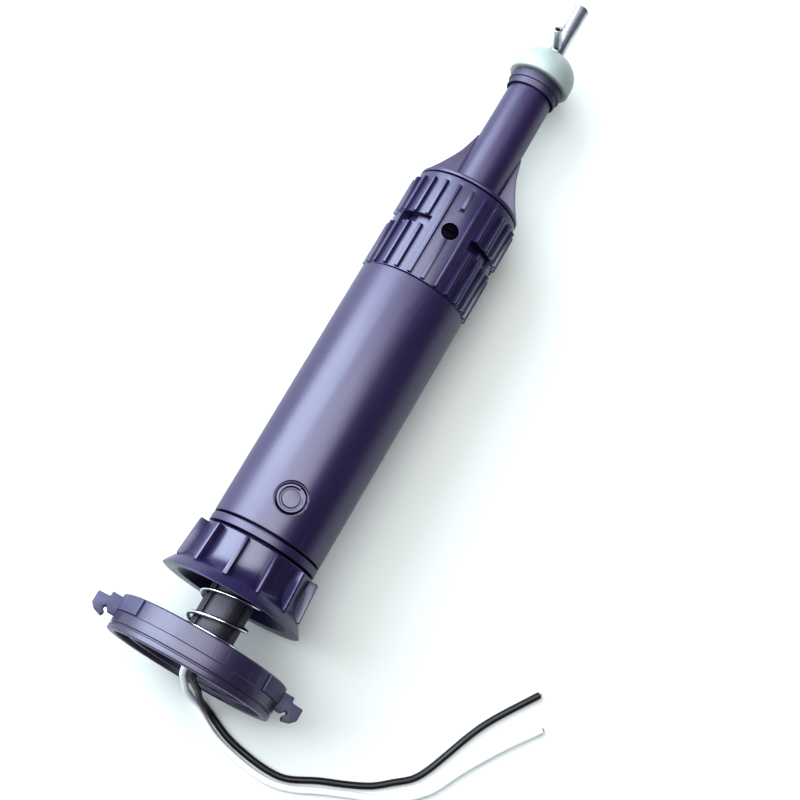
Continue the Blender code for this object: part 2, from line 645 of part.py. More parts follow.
def make_rear_gland():
    seal_front = GLAND_SEAL_REAR + SEAL_WIDTH
    outline = [
        (SPRING_POCKET_RADIUS, GLAND_REAR),
        (GLAND_RADIUS, GLAND_REAR),
        (GLAND_RADIUS, BAND_REAR),
        (BARREL_RADIUS, BAND_REAR),
        (BARREL_RADIUS, BAND_FRONT),
        (GLAND_PLUG_RADIUS, BAND_FRONT),
        (GLAND_PLUG_RADIUS, GLAND_FRONT),
        (SHAFT_HOLE, GLAND_FRONT),
        (SHAFT_HOLE, seal_front),
        (SHAFT_HOLE + SEAL_DEPTH, seal_front),
        (SHAFT_HOLE + SEAL_DEPTH, GLAND_SEAL_REAR),
        (SHAFT_HOLE, GLAND_SEAL_REAR),
        (SHAFT_HOLE, SPRING_POCKET_FLOOR),
        (SPRING_POCKET_RADIUS, SPRING_POCKET_FLOOR),
    ]
    gland = solid("rear_gland", turned(outline), black_plastic, tool_axis)
    lugs = []
    for i in range(GLAND_LUG_COUNT):
        centre = 2 * pi * i / GLAND_LUG_COUNT
        ends = (centre - GLAND_LUG_HALF_ANGLE, centre + GLAND_LUG_HALF_ANGLE)
        inner = GLAND_RADIUS - JOIN_IN
        lugs.append(sector(inner, GLAND_RADIUS + GLAND_LUG_HEIGHT, GLAND_LUG_REAR, GLAND_LUG_FRONT, *ends))
    boolean(gland, "UNION", together(lugs))
    half = PLATE_HALF_WIDTH + GAP
    low = (-BARREL_BORE - CUT_PAST, -half, PLATE_REAR - GAP)
    high = (BARREL_BORE + CUT_PAST, half, PLATE_FRONT + GAP)
    boolean(gland, "DIFFERENCE", block(low, high))
    pocket_floor = BUTTON_BOTTOM - BUTTON_TRAVEL - GAP
    pocket = rod(BUTTON_RADIUS + BUTTON_FLANGE + GAP, pocket_floor, BARREL_BORE + CUT_PAST, FINE_FACETS)
    boolean(gland, "DIFFERENCE", upright(pocket, BUTTON_AT))
    seal = sleeve(SHAFT_RADIUS + RUN, SHAFT_HOLE + SEAL_DEPTH - GAP, GLAND_SEAL_REAR + GAP, seal_front - GAP)
    solid("gland_seal", seal, rubber, tool_axis)


def make_latch():
    """The plate that the shaft passes through: its lower edge springs up into the shaft's notch.

    It is a disc that stays inside the gland over the button's travel, cut flat on four sides.
    """
    disc = rod(GLAND_PLUG_RADIUS - BUTTON_TRAVEL / 2, PLATE_REAR, PLATE_FRONT)
    bmesh.ops.translate(disc, verts=disc.verts, vec=(BUTTON_TRAVEL / 2, 0, 0))
    plate = solid("latch_plate", disc, steel, button_axis)
    low = (-PLATE_BOTTOM, -PLATE_HALF_WIDTH, PLATE_REAR - CUT_PAST)
    high = (PLATE_TOP, PLATE_HALF_WIDTH, PLATE_FRONT + CUT_PAST)
    boolean(plate, "INTERSECT", block(low, high))
    hole = rod(PLATE_HOLE_RADIUS, PLATE_REAR - CUT_PAST, PLATE_FRONT + CUT_PAST)
    bmesh.ops.translate(hole, verts=hole.verts, vec=(PLATE_HOLE_OFFSET, 0, 0))
    boolean(plate, "DIFFERENCE", hole)
    low = -BARREL_BORE + GAP
    high = -PLATE_BOTTOM - GAP
    points = coil(LATCH_SPRING_RADIUS, LATCH_WIRE_RADIUS, low, high, LATCH_SPRING_TURNS, 0, 10)
    across = Vector((0, 0, BUTTON_AT))
    stood = [Vector((point.z, point.y, -point.x)) + across for point in points]
    wire("latch_spring", stood, LATCH_WIRE_RADIUS, 0, steel, tool_axis)


def make_button():
    head_outline = [
        (0, BUTTON_BOTTOM),
        (BUTTON_RADIUS + BUTTON_FLANGE, BUTTON_BOTTOM),
        (BUTTON_RADIUS + BUTTON_FLANGE, BUTTON_BOTTOM + BUTTON_FLANGE_THICKNESS),
        (BUTTON_RADIUS, BUTTON_BOTTOM + BUTTON_FLANGE_THICKNESS),
        (BUTTON_RADIUS, BUTTON_TOP),
        (BUTTON_RADIUS - BUTTON_RIM, BUTTON_TOP),
        (BUTTON_RADIUS - BUTTON_RIM, BUTTON_TOP - BUTTON_DISH),
        (0, BUTTON_TOP - BUTTON_DISH),
    ]
    solid("release_button", upright(turned(head_outline, FINE_FACETS), BUTTON_AT), black_plastic, button_axis)


def make_barrel():
    outline = [
        (BARREL_BORE, BARREL_REAR),
        (BARREL_RADIUS, BARREL_REAR),
        (BARREL_RADIUS, BARREL_FRONT),
        (SPIGOT_RADIUS, BARREL_FRONT),
        (SPIGOT_RADIUS, SPIGOT_FRONT),
        (SPIGOT_BORE, SPIGOT_FRONT),
        (SPIGOT_BORE, BORE_END),
        (BARREL_BORE, BORE_END),
    ]
    barrel = solid("barrel_tube", turned(outline), black_plastic, tool_axis)
    lugs = []
    inner = SPIGOT_RADIUS - JOIN_IN
    rear = WINDOW_REAR + GAP
    front = WINDOW_FRONT - GAP
    for i in range(WINDOW_COUNT):
        end = 2 * pi * i / WINDOW_COUNT + WINDOW_ANGLES[1] - NOSE_LUG_PLAY
        lugs.append(sector(inner, NOSE_LUG_RADIUS, rear, front, end - NOSE_LUG_ANGLE, end))
    boolean(barrel, "UNION", together(lugs))
    above = BARREL_RADIUS + CUT_PAST
    recess_floor = BARREL_RADIUS - BUTTON_RECESS_DEPTH
    recess = rod(BUTTON_RADIUS + BUTTON_RECESS_ROOM, recess_floor, above, FINE_FACETS)
    boolean(barrel, "DIFFERENCE", upright(recess, BUTTON_AT))
    hole = rod(BUTTON_HOLE, BARREL_BORE - CUT_PAST, above, FINE_FACETS)
    boolean(barrel, "DIFFERENCE", upright(hole, BUTTON_AT))
    reach = (LOCK_SCREW_TIP_RADIUS + GAP) / SPIGOT_RADIUS
    track = sector(
        SPIGOT_RADIUS - LOCK_SCREW_TIP_DEPTH - 2 * GAP,
        SPIGOT_RADIUS + CUT_PAST,
        LOCK_SCREW_AT - LOCK_SCREW_TIP_RADIUS - GAP,
        LOCK_SCREW_AT + LOCK_SCREW_TIP_RADIUS + GAP,
        -reach - LOCK_TRACK_PLAY,
        NOSE_TWIST + reach + LOCK_TRACK_PLAY,
    )
    boolean(barrel, "DIFFERENCE", track)


def make_guard_nut():
    """A bell-mouthed nut, whose front lip lets the gland's lugs in at three places."""
    lip = GLAND_RADIUS + GAP
    groove = GLAND_RADIUS + GLAND_LUG_HEIGHT + GAP
    groove_rear = GLAND_LUG_REAR - GAP
    groove_front = GLAND_LUG_FRONT + GAP
    outline = [
        (lip, NUT_FRONT),
        (lip, groove_front),
        (groove, groove_front),
        (groove, groove_rear),
        (lip, groove_rear),
        (lip, GLAND_REAR),
        *((NUT_MOUTH_RADIUS - in_by, NUT_REAR + ahead) for in_by, ahead in NUT_MOUTH_CURVE),
        (NUT_RIM_RADIUS, NUT_REAR),
        (NUT_RIM_RADIUS - NUT_RIM_EDGE[0], NUT_REAR + NUT_RIM_EDGE[1]),
        *((NUT_ROOT_RADIUS + out_by, NUT_REAR + ahead) for out_by, ahead in NUT_FLARE),
        (NUT_ROOT_RADIUS, NUT_FRONT - NUT_EDGE),
        (NUT_ROOT_RADIUS - NUT_EDGE, NUT_FRONT),
    ]
    nut = solid("guard_nut", turned(outline, COLLAR_FACETS), black_plastic, nut_axis)
    ribs = []
    rear = NUT_REAR + NUT_RIB_REAR_MARGIN
    front = NUT_FRONT - NUT_RIB_FRONT_MARGIN
    inner = NUT_ROOT_RADIUS - JOIN_IN
    half = NUT_RIB_WIDTH / 2
    side = [(inner, rear), (NUT_RIB_REAR_RADIUS, rear), (NUT_RIB_FRONT_RADIUS, front), (inner, front)]
    for i in range(NUT_RIB_COUNT):
        rib = prism([(out, -half, along) for out, along in side], (0, NUT_RIB_WIDTH, 0))
        ribs.append(turned_about(rib, 2 * pi * (i + 0.5) / NUT_RIB_COUNT))
    boolean(nut, "UNION", together(ribs))
    entries = []
    for i in range(GLAND_LUG_COUNT):
        centre = 2 * pi * i / GLAND_LUG_COUNT + NUT_TWIST
        half_angle = GLAND_LUG_HALF_ANGLE + NUT_ENTRY_PLAY
        ends = (centre - half_angle, centre + half_angle)
        entries.append(sector(lip - JOIN_IN, groove, groove_front - JOIN_IN, NUT_FRONT + CUT_PAST, *ends))
    boolean(nut, "DIFFERENCE", together(entries))


def make_grip_collar():
    wall = sleeve(COLLAR_BORE, COLLAR_RADIUS, COLLAR_REAR, COLLAR_FRONT, COLLAR_FACETS)
    collar = solid("grip_collar", wall, black_plastic, nose_axis)
    ribs = []
    inner = COLLAR_RADIUS - JOIN_IN
    half = RIB_WIDTH / 2
    for i in range(RIB_COUNT):
        angle = 2 * pi * i / RIB_COUNT
        from_top = min(angle, 2 * pi - angle)
        rows = [REAR_RIBS, FRONT_RIBS]
        if from_top < THROUGH_RIBS_ANGLE:
            rows = [(REAR_RIBS[0], FRONT_RIBS[1])]
        for rear, front in rows:
            rib = block((inner, -half, rear), (RIB_RADIUS, half, front))
            ribs.append(turned_about(rib, angle))
    boolean(collar, "UNION", together(ribs))
    below = COLLAR_BORE - CUT_PAST
    above = RIB_RADIUS + CUT_PAST
    windows = []
    entries = []
    for i in range(WINDOW_COUNT):
        quarter = 2 * pi * i / WINDOW_COUNT
        ends = [quarter + angle for angle in WINDOW_ANGLES]
        windows.append(sector(below, above, WINDOW_REAR, WINDOW_FRONT, *ends))
        start = quarter + ENTRY_START
        ends = (start, start + NOSE_LUG_ANGLE + 2 * NOSE_LUG_PLAY)
        rear = COLLAR_REAR - CUT_PAST
        front = WINDOW_REAR + CUT_PAST
        entries.append(sector(below, NOSE_LUG_RADIUS + GAP, rear, front, *ends))
    boolean(collar, "DIFFERENCE", together(windows))
    boolean(collar, "DIFFERENCE", together(entries))
    hole = rod(LOCK_SCREW_RADIUS + GAP, below, above, FINE_FACETS)
    boolean(collar, "DIFFERENCE", upright(hole, LOCK_SCREW_AT))


def make_lock_screw():
    """A grub screw in the collar; its tip runs in a short track in the barrel's spigot."""
    seat = COLLAR_BORE + GAP
    tip = SPIGOT_RADIUS - LOCK_SCREW_TIP_DEPTH
    outline = [
        (0, tip),
        (LOCK_SCREW_TIP_RADIUS, tip),
        (LOCK_SCREW_TIP_RADIUS, seat),
        (LOCK_SCREW_RADIUS, seat),
        (LOCK_SCREW_RADIUS, LOCK_SCREW_TOP),
        (0, LOCK_SCREW_TOP),
    ]
    screw = solid("lock_screw", upright(turned(outline, FINE_FACETS), LOCK_SCREW_AT), steel, nose_axis)
    low = (LOCK_SCREW_TOP - LOCK_SCREW_SLOT, -LOCK_SCREW_RADIUS * 2, LOCK_SCREW_AT - LOCK_SCREW_SLOT / 2)
    high = (LOCK_SCREW_TOP + CUT_PAST, LOCK_SCREW_RADIUS * 2, LOCK_SCREW_AT + LOCK_SCREW_SLOT / 2)
    boolean(screw, "DIFFERENCE", block(low, high))


def make_nose_cone():
    flange = COLLAR_BORE - GAP
    inner = SPIGOT_BORE - GAP
    seal_front = NOSE_SEAL_REAR + SEAL_WIDTH
    seal_floor = inner - NOSE_SEAL_DEPTH
    shoulder = COLLAR_RADIUS
    chamber = inner - NOSE_WALL
    fin_end = SHOULDER_FRONT + FIN_LENGTH
    outline = [
        (chamber, NOSE_INNER_REAR),
        (inner, NOSE_INNER_REAR),
        (inner, NOSE_SEAL_REAR),
        (seal_floor, NOSE_SEAL_REAR),
        (seal_floor, seal_front),
        (inner, seal_front),
        (inner, NOSE_FLANGE_REAR),
        (flange, NOSE_FLANGE_REAR),
        (flange, SHOULDER_REAR),
        (shoulder, SHOULDER_REAR),
        (shoulder, SHOULDER_FRONT),
        *((NECK_REAR_RADIUS + out_by, SHOULDER_FRONT + ahead) for out_by, ahead in SHOULDER_FILLET),
        (NECK_FRONT_RADIUS, NECK_FRONT),
        (NECK_BORE, NECK_FRONT),
        (NECK_BORE, SHOULDER_FRONT + CHAMBER_END),
        (chamber, SHOULDER_REAR - CHAMBER_END),
    ]
    nose = solid("nose_cone", turned(outline), black_plastic, nose_axis)
    foot = SHOULDER_REAR + SHOULDER_EDGE
    web = shoulder - NECK_REAR_RADIUS
    root = NECK_FRONT_RADIUS - FIN_ROOT_DEPTH
    tip = shoulder - FIN_EDGE
    edge = [
        (root, foot),
        (tip, foot),
        (tip, SHOULDER_FRONT + FIN_EDGE),
        *((NECK_REAR_RADIUS + reach * web, SHOULDER_FRONT + FIN_LENGTH * gone) for reach, gone in FIN_CURVE),
        (NECK_REAR_RADIUS, fin_end),
        (root, fin_end),
    ]
    for side in (1, -1):
        corners = [(-FIN_THICKNESS / 2, side * out, along) for out, along in edge]
        boolean(nose, "UNION", prism(corners, (FIN_THICKNESS, 0, 0)))
    seal = sleeve(seal_floor + GAP, SPIGOT_BORE - RUN, NOSE_SEAL_REAR + GAP, seal_front - GAP)
    solid("nose_seal", seal, rubber, nose_axis)


def make_nozzle():
    lip_rear = RING_FRONT - RING_LIP
    ring_hole = NECK_FRONT_RADIUS + GAP
    back = ring_hole + RING_BACK_WALL
    front = ring_hole + RING_WALL
    ring = [
        (ring_hole, RING_REAR),
        (back, RING_REAR),
        (back, RING_STEP),
        (front, RING_STEP),
        (front, RING_FRONT),
        (SEAT_STEM_RADIUS + GAP, RING_FRONT),
        (SEAT_STEM_RADIUS + GAP, lip_rear),
        (ring_hole, lip_rear),
    ]
    solid("neck_ring", turned(ring), black_plastic, nose_axis)
    seat_rear = RING_FRONT + GAP
    room = SEAT_RADIUS - TUBE_HOLE
    seat = [
        (TUBE_HOLE, NECK_FRONT + GAP),
        (SEAT_FLANGE_RADIUS, NECK_FRONT + GAP),
        (SEAT_FLANGE_RADIUS, lip_rear - GAP),
        (SEAT_STEM_RADIUS, lip_rear - GAP),
        (SEAT_STEM_RADIUS, seat_rear),
        (SEAT_RADIUS, seat_rear),
        (SEAT_RADIUS, SEAT_WIDEST),
    ]
    for step in range(1, SEAT_STEPS):
        angle = pi / 2 * step / SEAT_STEPS
        seat.append((TUBE_HOLE + room * cos(angle), SEAT_WIDEST + SEAT_DOME * sin(angle)))
    seat.append((TUBE_HOLE, SEAT_FRONT))
    solid("nozzle_seat", turned(seat), white_plastic, nose_axis)
    heater_ends = (TUBE_REAR + HEATER_INSET, NECK_FRONT - HEATER_INSET)
    heater = sleeve(TUBE_HOLE, HEATER_RADIUS, *heater_ends, FINE_FACETS)
    solid("heater_sleeve", heater, white_plastic, nose_axis)
    wall = sleeve(TUBE_BORE, TUBE_RADIUS, TUBE_REAR, TUBE_FRONT, FINE_FACETS)
    tube = solid("suction_tube", wall, steel, nose_axis)
    port = rod(SIDE_TUBE_BORE, 0, SIDE_TUBE_REACH, SIDE_TUBE_FACETS)
    boolean(tube, "DIFFERENCE", lean_out(port))
    branch = sleeve(SIDE_TUBE_BORE, SIDE_TUBE_RADIUS, 0, SIDE_TUBE_REACH, SIDE_TUBE_FACETS)
    side = solid("side_tube", lean_out(branch), steel, nose_axis)
    around = rod(TUBE_HOLE, TUBE_REAR, TUBE_FRONT, FINE_FACETS)
    boolean(side, "DIFFERENCE", around)


def lean_out(bm):
    """Lean a piece drawn along Z out of the suction tube, towards the nozzle."""
    bmesh.ops.rotate(bm, verts=bm.verts, cent=(0, 0, 0), matrix=Matrix.Rotation(SIDE_TUBE_LEAN, 3, "Y"))
    turned_about(bm, SIDE_TUBE_ANGLE)
    bmesh.ops.translate(bm, verts=bm.verts, vec=(0, 0, SIDE_TUBE_AT))
    return bm


for old in list(bpy.data.objects):
    bpy.data.objects.remove(old)

black_plastic = material("black_plastic", (0.020, 0.018, 0.035), 0.38)
shaft_plastic = material("shaft_plastic", (0.030, 0.027, 0.040), 0.50)
white_plastic = material("white_plastic", (0.80, 0.82, 0.80), 0.35)
rubber = material("rubber", (0.015, 0.015, 0.015), 0.70)
steel = material("steel", (0.55, 0.55, 0.57), 0.25, 1.0)
black_sheath = material("black_sheath", (0.010, 0.010, 0.012), 0.45)
white_sheath = material("white_sheath", (0.80, 0.81, 0.82), 0.45)

tool_axis = empty("tool_axis", place=(-(REARMOST + FOREMOST) / 2, 0, AXIS_HEIGHT))
up_row = Vector((sin(TILT), 0, cos(TILT)))
side_row = Vector((0, -1, 0))
along_row = Vector((cos(TILT), 0, -sin(TILT)))
laid_down = Matrix((up_row, side_row, along_row)).transposed().to_4x4()
laid_down.translation = tool_axis.location
tool_axis.rotation_euler = laid_down.to_euler()

plunger_axis = empty("plunger_axis", tool_axis, (0, 0, CAP_FRONT))
button_axis = empty("button_axis", tool_axis, (BUTTON_TOP, 0, BUTTON_AT))
nose_axis = empty("nose_axis", tool_axis, (0, 0, COLLAR_REAR))
nut_axis = empty("nut_axis", tool_axis, (0, 0, NUT_FRONT))

make_rear_cap()
make_lead_bush()
make_leads()
make_shaft()
make_lead_plug()
make_piston()
make_suction_spring()
make_rear_gland()
make_latch()
make_button()
make_barrel()
make_guard_nut()
make_grip_collar()
make_lock_screw()
make_nose_cone()
make_nozzle()
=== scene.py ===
import json
from math import ceil, cos, pi, radians, sin

import bmesh
import bpy
from mathutils import Matrix, Vector


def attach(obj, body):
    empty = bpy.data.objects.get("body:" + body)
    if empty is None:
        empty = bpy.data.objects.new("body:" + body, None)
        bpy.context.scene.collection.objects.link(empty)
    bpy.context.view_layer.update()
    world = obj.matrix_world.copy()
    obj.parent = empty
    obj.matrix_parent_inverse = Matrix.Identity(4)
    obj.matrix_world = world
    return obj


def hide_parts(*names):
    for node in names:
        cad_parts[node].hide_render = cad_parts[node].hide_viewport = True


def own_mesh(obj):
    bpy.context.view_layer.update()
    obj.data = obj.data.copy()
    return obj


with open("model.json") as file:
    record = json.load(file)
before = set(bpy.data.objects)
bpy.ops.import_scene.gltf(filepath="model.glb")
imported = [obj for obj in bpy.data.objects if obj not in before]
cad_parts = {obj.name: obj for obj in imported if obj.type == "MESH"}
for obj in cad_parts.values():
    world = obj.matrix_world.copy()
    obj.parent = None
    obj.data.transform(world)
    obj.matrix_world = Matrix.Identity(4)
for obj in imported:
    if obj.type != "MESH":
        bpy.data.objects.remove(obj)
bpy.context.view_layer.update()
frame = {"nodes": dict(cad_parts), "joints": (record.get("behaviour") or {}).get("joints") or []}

# The camera looks down on the tool as it lies on a bench, with the thumb cap nearest and the nozzle away.
CAMERA_LENS = 80.42
SENSOR_WIDTH = 36
CAMERA_PLACE = (-0.107094, -0.000505, 0.469384)
CAMERA_TURN = (9.1481, -6.8956, -59.9601)


def add_object(name, data):
    """A new object that holds the data, in the scene."""
    made = bpy.data.objects.new(name, data)
    bpy.context.collection.objects.link(made)
    return made


camera_data = bpy.data.cameras.new("camera")
camera_data.lens = CAMERA_LENS
camera_data.sensor_width = SENSOR_WIDTH
camera = add_object("camera", camera_data)
camera.location = CAMERA_PLACE
camera.rotation_euler = [radians(angle) for angle in CAMERA_TURN]
bpy.context.scene.camera = camera


# The two leads feed the heater in the nose: stranded copper in an extruded PVC sheath, one black and one
# white. They come out of the thumb cap's bush, bend down inside its hollow and lie loose on the bench, and
# both are cut off square.
LEAD_DIAMETER = 0.0018
LEAD_POINT_STEP = 0.0015
CURVE_PARTS = 20  # how finely the curve between two of the route's points is measured
BLACK_PVC = "#08070b"
BLACK_PVC_WORN = "#17151c"
WHITE_PVC = "#eceef2"
WHITE_PVC_SOILED = "#d5d7dc"

white_route = [
    (-0.0958, 0.0014, 0.0228), (-0.0983, 0.0014, 0.0230), (-0.1006, 0.0014, 0.0231),
    (-0.1026, 0.0013, 0.0222), (-0.1038, 0.0010, 0.0199), (-0.1047, 0.0003, 0.0157),
    (-0.1054, -0.0005, 0.0114), (-0.1069, -0.0018, 0.0068), (-0.1077, -0.0035, 0.0035),
    (-0.1088, -0.0056, 0.0015), (-0.1106, -0.0088, 0.0010), (-0.1135, -0.0144, 0.0010),
    (-0.1154, -0.0218, 0.0010), (-0.1163, -0.0280, 0.0010), (-0.1162, -0.0334, 0.0010),
    (-0.1147, -0.0388, 0.0010), (-0.1119, -0.0446, 0.0010), (-0.1092, -0.0510, 0.0010),
    (-0.1066, -0.0574, 0.0010), (-0.1030, -0.0640, 0.0010), (-0.0985, -0.0690, 0.0010),
    (-0.0943, -0.0716, 0.0010), (-0.0882, -0.0748, 0.0010), (-0.0784, -0.0810, 0.0010),
    (-0.0695, -0.0875, 0.0010),
]
black_route = [
    (-0.0958, -0.0014, 0.0228), (-0.0983, -0.0014, 0.0230), (-0.1006, -0.0014, 0.0231),
    (-0.1026, -0.0015, 0.0222), (-0.1039, -0.0020, 0.0199), (-0.1048, -0.0031, 0.0155),
    (-0.1056, -0.0045, 0.0110), (-0.1073, -0.0062, 0.0067), (-0.1080, -0.0082, 0.0034),
    (-0.1090, -0.0104, 0.0015), (-0.1104, -0.0134, 0.0010), (-0.1121, -0.0177, 0.0010),
    (-0.1134, -0.0240, 0.0010), (-0.1140, -0.0305, 0.0010), (-0.1133, -0.0359, 0.0010),
    (-0.1098, -0.0430, 0.0010), (-0.1070, -0.0498, 0.0010), (-0.1040, -0.0558, 0.0010),
    (-0.1004, -0.0603, 0.0010), (-0.0973, -0.0640, 0.0010), (-0.0934, -0.0664, 0.0010),
    (-0.0877, -0.0687, 0.0010), (-0.0797, -0.0718, 0.0010), (-0.0731, -0.0752, 0.0010),
    (-0.0619, -0.0825, 0.0010),
]


def smooth_route(route, step):
    """Points a step apart on the smooth curve that runs through the route's own points."""
    spots = [Vector(spot) for spot in route]
    spots = [2 * spots[0] - spots[1], *spots, 2 * spots[-1] - spots[-2]]
    fine = []
    for before, a, b, after in zip(spots, spots[1:], spots[2:], spots[3:]):
        for i in range(CURVE_PARTS):
            t = i / CURVE_PARTS
            pull = (2 * before - 5 * a + 4 * b - after) * t**2 + (3 * a - before - 3 * b + after) * t**3
            fine.append(a + ((b - before) * t + pull) / 2)
    fine.append(spots[-2])
    length = sum((b - a).length for a, b in zip(fine, fine[1:]))
    spacing = length / ceil(length / step)
    points = [fine[0]]
    gone = 0.0
    for a, b in zip(fine, fine[1:]):
        span = (b - a).length
        while gone + span >= spacing * len(points) - 1e-9:
            points.append(a.lerp(b, (spacing * len(points) - gone) / span))
        gone += span
    return points


def linear(colour):
    """A hex sRGB colour as a linear RGBA tuple."""
    parts = [int(colour[i : i + 2], 16) / 255 for i in (1, 3, 5)]
    return (*(c / 12.92 if c <= 0.04045 else ((c + 0.055) / 1.055) ** 2.4 for c in parts), 1.0)


def add(tree, kind, sockets=None, **settings):
    """Add a node with its settings; a socket's value is a number, a colour or a (node, output) to link."""
    made = tree.nodes.new(kind)
    for name, value in settings.items():
        setattr(made, name, value)
    for name, value in (sockets or {}).items():
        if isinstance(value, tuple) and isinstance(value[0], bpy.types.Node):
            tree.links.new(value[0].outputs[value[1]], made.inputs[name])
        else:
            made.inputs[name].default_value = value
    return made


def new_material(name):
    """An empty material with its tree, its Principled shader and its Object coordinates."""
    made = bpy.data.materials.new(name)
    made.use_nodes = True
    tree = made.node_tree
    shader = tree.nodes["Principled BSDF"]
    place = add(tree, "ShaderNodeTexCoord")
    return made, tree, shader, (place, "Object")


def extruded_pvc(name, clean, handled):
    """Extruded PVC: an even, slightly waxy gloss, with a soft ripple and patches dulled by fingers."""
    made, tree, shader, place = new_material(name)
    patches = add(tree, "ShaderNodeTexNoise", {"Vector": place, "Scale": 1 / 0.006, "Detail": 3.0})
    tint = add(
        tree, "ShaderNodeMix", {"Factor": (patches, "Fac"), "A": linear(clean), "B": linear(handled)},
        data_type="RGBA",
    )
    gloss = add(
        tree, "ShaderNodeMapRange",
        {"Value": (patches, "Fac"), "From Min": 0.3, "From Max": 0.7, "To Min": 0.32, "To Max": 0.5},
    )
    ripple = add(tree, "ShaderNodeTexNoise", {"Vector": place, "Scale": 1 / 0.0012, "Detail": 2.0})
    bump = add(tree, "ShaderNodeBump", {"Height": (ripple, "Fac"), "Distance": 0.00006, "Strength": 0.6})
    tree.links.new(tint.outputs[2], shader.inputs["Base Color"])
    tree.links.new(gloss.outputs["Result"], shader.inputs["Roughness"])
    tree.links.new(bump.outputs["Normal"], shader.inputs["Normal"])
    shader.inputs["IOR"].default_value = 1.53
    return made


def round_curve(name, points, radius, resolution):
    """A round wire or cord through the points, closed at both ends."""
    curve = bpy.data.curves.new(name, "CURVE")
    curve.dimensions = "3D"
    curve.bevel_depth = radius
    curve.bevel_resolution = resolution
    curve.use_fill_caps = True
    spline = curve.splines.new("POLY")
    spline.points.add(len(points) - 1)
    for spot, point in zip(spline.points, points):
        spot.co = (*point, 1.0)
    return curve


def add_lead(name, route, finish):
    """One lead along its route; also gives the points it runs through and its length."""
    points = smooth_route(route, LEAD_POINT_STEP)
    curve = round_curve(name, points, LEAD_DIAMETER / 2, 5)
    curve.splines[0].use_smooth = True
    curve.materials.append(finish)
    length = sum((b - a).length for a, b in zip(points, points[1:]))
    return add_object(name, curve), points, length


pvc_black = extruded_pvc("extruded black PVC", BLACK_PVC, BLACK_PVC_WORN)
black_lead, black_points, black_length = add_lead("black_lead", black_route, pvc_black)
pvc_white = extruded_pvc("extruded white PVC", WHITE_PVC, WHITE_PVC_SOILED)
white_lead, white_points, white_length = add_lead("white_lead", white_route, pvc_white)
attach(black_lead, "plunger")
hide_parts("lead_black")
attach(white_lead, "plunger")
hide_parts("lead_white")


# The strands of each lead show at its cut end: seven tinned copper wires, twisted, just proud of the sheath.
STRAND_RADIUS = 0.00016
STRAND_TIP_RADIUS = 0.8 * STRAND_RADIUS
STRAND_CIRCLE = 0.00034
STRAND_PROUD = 0.0005
STRAND_SUNK = 0.0010
TINNED_COPPER = "#b98f6c"


def add_strands(name, points, finish):
    """The wires that stick out of a lead's cut end."""
    along = (points[-1] - points[-2]).normalized()
    bm = bmesh.new()
    for i in range(7):
        angle = 2 * pi * i / 6
        out = STRAND_CIRCLE if i < 6 else 0.0
        spot = Matrix.Translation((out * cos(angle), out * sin(angle), 0))
        bmesh.ops.create_cone(
            bm, cap_ends=True, segments=8, radius1=STRAND_RADIUS, radius2=STRAND_TIP_RADIUS,
            depth=STRAND_PROUD + STRAND_SUNK, matrix=spot,
        )
    turn = along.to_track_quat("Z", "Y").to_matrix().to_4x4()
    middle = points[-1] + along * (STRAND_PROUD - STRAND_SUNK) / 2
    bmesh.ops.transform(bm, verts=bm.verts, matrix=Matrix.Translation(middle) @ turn)
    mesh = bpy.data.meshes.new(name)
    bm.to_mesh(mesh)
    bm.free()
    mesh.shade_smooth()
    mesh.set_sharp_from_angle(angle=radians(40))
    mesh.materials.append(finish)
    return add_object(name, mesh)


def drawn_wire(name, colour, roughness):
    """Drawn wire: bare metal with a slightly uneven, scratched shine."""
    made, tree, shader, place = new_material(name)
    marks = add(tree, "ShaderNodeTexNoise", {"Vector": place, "Scale": 1 / 0.0008, "Detail": 4.0})
    dulled = add(
        tree, "ShaderNodeMapRange",
        {"Value": (marks, "Fac"), "To Min": roughness - 0.08, "To Max": roughness + 0.12},
    )
    bump = add(tree, "ShaderNodeBump", {"Height": (marks, "Fac"), "Distance": 0.00002, "Strength": 0.5})
    tree.links.new(dulled.outputs["Result"], shader.inputs["Roughness"])
    tree.links.new(bump.outputs["Normal"], shader.inputs["Normal"])
    shader.inputs["Base Color"].default_value = linear(colour)
    shader.inputs["Metallic"].default_value = 1.0
    return made


tinned_copper = drawn_wire("drawn tinned copper", TINNED_COPPER, roughness=0.34)
black_strands = add_strands("black_lead_strands", black_points, tinned_copper)
white_strands = add_strands("white_lead_strands", white_points, tinned_copper)
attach(black_strands, "plunger")
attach(white_strands, "plunger")


# The bench is a sheet of smooth white paper under soft light: a large soft box to the tool's left, a wide and
# dimmer panel above, and pale walls all round.
PAPER = "#cdd0cc"
PAPER_CLOUD = "#c9cec8"
BENCH_SIZE = 6.0
KEY_COLOUR = "#e6f1fb"
KEY_PLACE = (0.2, 1.5, 0.85)
KEY_SIZE = (1.9, 1.7)
KEY_POWER = 60.0
PANEL_COLOUR = "#fbfdff"
PANEL_PLACE = (0.1, 0.25, 1.8)
PANEL_SIZE = (1.6, 1.6)
PANEL_POWER = 33.0
LIT_SPOT = (0.0, 0.0, 0.02)
WALL_COLOUR = "#ece9ff"
WALL_STRENGTH = 0.19

